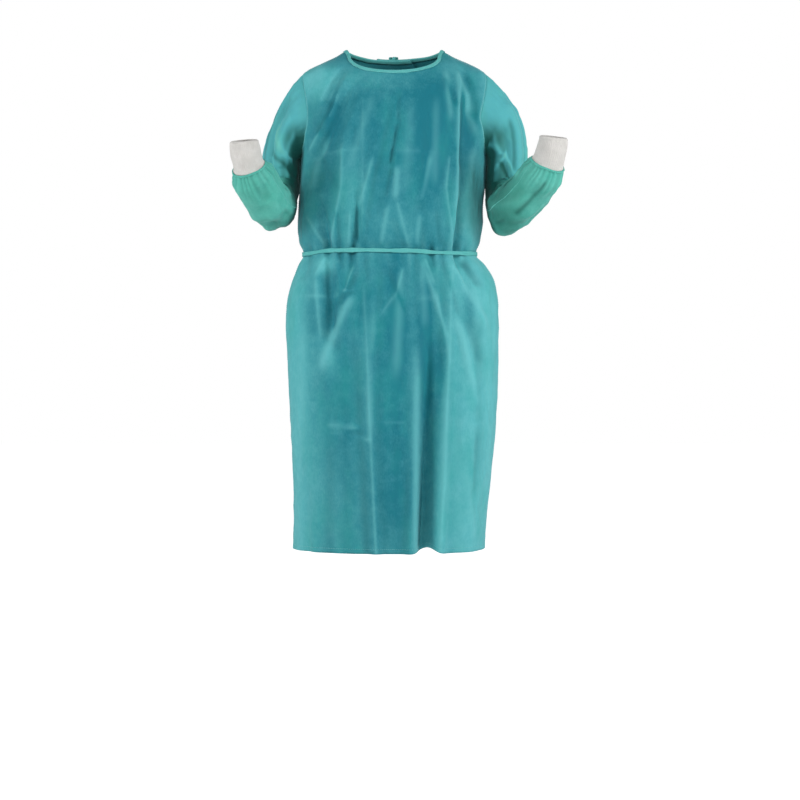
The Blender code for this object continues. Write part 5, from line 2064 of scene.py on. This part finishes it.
LEFT_SLEEVE = Sleeve(
    side=Side.LEFT, first=(0.2560, 0.006, -0.250), tilt=1.0, across=0.0450, deep=0.068, cap_pull=1.35,
    forearm_shade=0.75, slack=0.6,
    stretches=(
        Stretch(0.045, 0.0, UP, 2, 0.0465, 0.064),
        Stretch(0.090, 74.0, (0.00, -1.00, 0.00), 5, 0.0465, 0.056),
        Stretch(0.060, 58.0, (0.62, -0.35, 0.70), 3, 0.0470, 0.053),
        Stretch(0.055, 6.0, UP, 2, 0.0475, 0.049),
        Stretch(0.055, 12.0, UP, 2, 0.0460, 0.047),
        Stretch(0.024, 12.0, UP, 1, 0.0365, 0.038),
    ),
    folds=table(Crease, (
        (330, 0.1, 352, 0.48, 16, 6), (10, 0.06, 30, 0.5, 14, -7),
        (45, 0.08, 62, 0.42, 13, 6), (84, 0.12, 100, 0.46, 16, -8),
        (35, 0.44, 98, 0.56, 15, -6), (20, 0.62, 120, 0.6, 14, 5),
        (250, 0.3, 236, 0.72, 18, 6), (285, 0.42, 300, 0.86, 17, -6),
        (215, 0.7, 320, 0.8, 13, -6), (150, 0.64, 230, 0.88, 16, 6),
        (190, 0.86, 330, 0.9, 14, -5), (30, 0.74, 20, 0.98, 15, -5),
        (110, 0.72, 96, 0.98, 15, 5),
    ), plain=range(5)),
    creases=table(Crease, (
        (132, 0.08, 108, 0.22, 6, 2.6), (126, 0.3, 92, 0.22, 5, 2.4),
        (100, 0.22, 58, 0.38, 6, 2.8), (112, 0.26, 72, 0.42, 6, -2.6),
        (300, 0.12, 316, 0.34, 7, 2.2), (350, 0.14, 8, 0.4, 6, 2.2),
        (26, 0.12, 46, 0.4, 6, 2), (62, 0.12, 82, 0.44, 6, -2),
        (112, 0.1, 124, 0.4, 8, 2), (10, 0.52, 74, 0.55, 6, 2.4),
        (44, 0.58, 112, 0.64, 6, -2.4), (60, 0.66, 140, 0.7, 6, 2.2),
        (240, 0.5, 300, 0.6, 7, -2.2), (60, 0.78, 52, 0.97, 6, 2.4),
        (82, 0.8, 78, 0.97, 5, -2.2), (140, 0.78, 126, 0.97, 6, -2.2),
        (4, 0.78, 356, 0.97, 6, 2.2), (290, 0.74, 296, 0.97, 6, 2),
        (230, 0.78, 244, 0.96, 7, -2), (90, 0.86, 160, 0.9, 6, 1.8),
    ), plain=range(5)),
    cuff=(
        Stretch(0.012, 4.0, UP, 1, 0.0330, 0.0340),
        Stretch(0.026, 9.0, UP, 1, 0.0325, 0.0335),
        Stretch(0.024, 7.0, UP, 1, 0.0305, 0.0315),
    ),
)
RIGHT_SLEEVE = Sleeve(
    side=Side.RIGHT, first=(0.2575, 0.006, -0.248), tilt=2.0, across=0.0400, deep=0.068, cap_pull=0.75,
    stretches=(
        Stretch(0.040, 0.0, UP, 2, 0.0420, 0.064),
        Stretch(0.086, 72.0, (0.00, -1.00, 0.00), 5, 0.0420, 0.055),
        Stretch(0.055, 48.0, (0.46, -0.50, 0.62), 3, 0.0430, 0.046),
        Stretch(0.045, 8.0, UP, 2, 0.0470, 0.048),
        Stretch(0.055, 12.0, UP, 2, 0.0480, 0.048),
        Stretch(0.024, 12.0, UP, 1, 0.0360, 0.038),
    ),
    folds=table(Crease, (
        (336, 0.08, 6, 0.3, 15, -6), (340, 0.3, 60, 0.36, 15, 9),
        (40, 0.06, 74, 0.36, 15, -8), (72, 0.08, 96, 0.3, 13, 6),
        (40, 0.46, 100, 0.56, 15, -6), (250, 0.3, 262, 0.74, 18, -6),
        (288, 0.36, 300, 0.8, 16, 6), (200, 0.72, 300, 0.7, 13, -7),
        (210, 0.8, 330, 0.79, 14, 6), (24, 0.72, 16, 0.98, 15, 5),
        (120, 0.7, 104, 0.98, 15, -5), (230, 0.88, 236, 1, 15, -5),
    ), plain=range(5)),
    creases=table(Crease, (
        (48, 0.15, 136, 0.26, 6, 2.8), (58, 0.22, 150, 0.34, 7, -2.6),
        (310, 0.12, 326, 0.34, 7, 2.2), (356, 0.1, 20, 0.34, 6, 2.2),
        (18, 0.12, 50, 0.4, 6, -2), (58, 0.12, 78, 0.4, 6, 2.2),
        (106, 0.1, 120, 0.4, 8, 2), (8, 0.52, 76, 0.55, 6, 2.4),
        (40, 0.6, 118, 0.64, 6, -2.4), (70, 0.66, 150, 0.71, 6, 2.2),
        (250, 0.52, 306, 0.58, 7, -2.2), (64, 0.78, 56, 0.97, 6, 2.4),
        (88, 0.76, 80, 0.97, 5, -2.4), (140, 0.8, 128, 0.97, 6, 2.2),
        (354, 0.78, 0, 0.97, 6, -2.2), (286, 0.8, 292, 0.97, 6, 2),
        (110, 0.86, 30, 0.88, 6, 1.8),
    ), plain=range(5)),
    cuff=(
        Stretch(0.012, 6.0, UP, 1, 0.0330, 0.0340),
        Stretch(0.026, 10.0, UP, 1, 0.0325, 0.0335),
        Stretch(0.024, 8.0, UP, 1, 0.0305, 0.0315),
    ),
)


@dataclass
class Gown:
    """The whole gown: its panels, sleeves, cuffs, trims and sewing."""

    body: Body = field(default_factory=Body)
    sleeves: tuple[Sleeve, Sleeve] = (LEFT_SLEEVE, RIGHT_SLEEVE)
    front: Panel = field(init=False)
    back_left: Panel = field(init=False)
    back_right: Panel = field(init=False)
    binding: Binding = field(init=False)
    gown_cloth: Material = field(init=False)
    sleeve_cloth: Material = field(init=False)
    tie_cloth: Material = field(init=False)
    knit: Material = field(init=False)
    thread: Material = field(init=False)

    @property
    def panels(self) -> tuple[Panel, Panel, Panel]:
        """The three panels."""
        return self.front, self.back_left, self.back_right

    def make_finishes(self) -> None:
        """Makes the gown's materials."""
        grain, loops = nonwoven_grain(), knit_loops()
        # Each non-woven's colours: shade, light (also the painted highlight and painted light), deep (painted
        # shade in troughs), under (painted shade over the hollow) and green.
        self.gown_cloth = Nonwoven(
            "gown_nonwoven", (0.072, 0.400, 0.435, 1), (0.150, 0.530, 0.560, 1), (0.006, 0.115, 0.140, 1),
            (0.004, 0.168, 0.222, 1), (0.020, 0.335, 0.305, 1),
        ).make(grain)
        self.sleeve_cloth = Nonwoven(
            "sleeve_nonwoven", (0.070, 0.415, 0.345, 1), (0.165, 0.560, 0.480, 1), (0.003, 0.082, 0.066, 1),
            (0.085, 0.430, 0.475, 1), (0.075, 0.440, 0.330, 1), mottle=0.5,
        ).make(grain)
        self.tie_cloth = Nonwoven(
            "tie_nonwoven", (0.080, 0.420, 0.410, 1), (0.160, 0.520, 0.510, 1), (0.040, 0.260, 0.270, 1),
            (0.060, 0.340, 0.350, 1), (0.080, 0.430, 0.360, 1), mottle=0.4,
        ).make(grain)
        self.knit = Knit("cuff_ribbed_knit", (0.480, 0.470, 0.445, 1), (0.740, 0.725, 0.700, 1)).make(loops)
        self.thread = Thread("sewing_thread", (0.100, 0.400, 0.410, 1), (0.240, 0.580, 0.580, 1)).make()

    def lay_out(self) -> None:
        """Works out the form of every panel and sleeve."""
        self.front = Panel("front_cloth", "front_panel", self.body, -180.0, 0.0, 250, 27.0, 27.0)
        self.back_left = Panel(
            "back_left_cloth", "back_panel_left", self.body, 0.0, 107.0, 118, 25.0, 0.0,
            lap=0.0034, lap_from=49.0, lap_to=73.0, flat=(0.44, 1.16), area=0.46,
        )
        self.back_right = Panel(
            "back_right_cloth", "back_panel_right", self.body, 73.0, 180.0, 118, 0.0, 25.0,
            lap=-0.0016, lap_from=131.0, lap_to=107.0, flat=(0.44, 1.16), area=0.46,
        )
        for panel in self.panels:
            panel.lay_out()
        for sleeve, back in zip(self.sleeves, (self.back_left, self.back_right)):
            sleeve.lay_out(self.front, back)

    def build_cloth(self) -> None:
        """Makes the panels, sleeves and cuffs."""
        for panel in self.panels:
            piece = panel.build(self.gown_cloth)
        for sleeve in self.sleeves:
            piece = sleeve.build(self.sleeve_cloth)
            cuff = Cuff(sleeve)
            cuff.lay_out()
            knit = cuff.build(self.knit)
            cuff.build_edging(self.sleeve_cloth)

    def build_trims(self) -> None:
        """Makes the neck binding, the belt and the ties."""
        self.binding = Binding((self.back_right, self.front, self.back_left))
        strip = self.binding.build(self.tie_cloth)
        belt = Belt(self.body).build(self.tie_cloth)
        neck = Tie(
            "neck_tie", self.body, height=-0.0175, lift=0.0102, wide=0.0105, tall=0.0062, deep=0.0042,
            tape=0.0040, ends=(End(89.0, 84.5, 0.150), End(91.5, 97.0, 0.128)),
        )
        waist = Tie(
            "waist_tie", self.body, height=-0.4590, lift=0.0118, wide=0.0150, tall=0.0088, deep=0.0046,
            tape=0.0056, ends=(End(88.0, 84.0, 0.260), End(92.0, 95.5, 0.225)),
        )
        for tie in (neck, waist):
            for end, piece in zip(tie.ends, tie.build(self.tie_cloth)[-2:]):
                tie.flat(end)

    def build_sewing(self) -> None:
        """Makes the seams' ridges and the rows of stitches."""
        sewing = Sewing()
        stitch = sewing.model()
        side, shoulder = slice(0, self.body.body_rows + 1), slice(-(self.body.shoulder_steps + 1), -1)
        for word, edge in (("left", -1), ("right", 0)):
            for name, part in (("side", side), ("shoulder", shoulder)):
                line, outs = self.front.points[part, edge], self.front.outs[part, edge]
                welt(f"{name}_seam_{word}", line, outs, self.gown_cloth, "gown_cloth")
                sewing.sew(f"{name}_stitches_{word}", line + outs * STITCH_LIFT, outs, stitch, self.thread)
        for sleeve in self.sleeves:
            word, loop = sleeve.word, sleeve.rings[0]
            outs = grid_normals(sleeve.rings, closed=True)[0] * sleeve.side.value
            # The armhole seam's welt is painted lighter, as a painted highlight.
            welt(f"armhole_seam_{word}", loop, outs, self.gown_cloth, "gown_cloth", closed=True, light=1.0)
            line, outs = np.vstack([loop, loop[:1]]), np.vstack([outs, outs[:1]])
            sewing.sew(f"armhole_stitches_{word}", line + outs * STITCH_LIFT, outs, stitch, self.thread)
            line, outs = (values[2:-1] for values in sleeve.seam_line())
            welt(f"underarm_seam_{word}", line, outs, self.sleeve_cloth, "sleeve_cloth")
            sewing.sew(f"underarm_stitches_{word}", line + outs * STITCH_LIFT, outs, stitch, self.thread)
        for panel in self.panels:
            line = panel.points[1] * 0.35 + panel.points[2] * 0.65
            sewing.sew(f"hem_stitches_{panel.name}", line, panel.outs[2], stitch, self.thread)
        points, outs, downs = self.binding.stations()
        line = points + outs * (self.binding.clear + self.binding.thick) + downs * self.binding.stitch_depth
        sewing.sew("neck_stitches", line, outs, stitch, self.thread)
        bpy.data.objects.remove(stitch)


def main() -> None:
    """Builds the gown and its studio."""
    logging.basicConfig(level=logging.INFO, format="%(name)s: %(message)s")
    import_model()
    gown = Gown()
    gown.make_finishes()
    gown.lay_out()
    gown.build_cloth()
    gown.build_trims()
    gown.build_sewing()
    Studio().build()


if __name__ == "__main__":
    main()
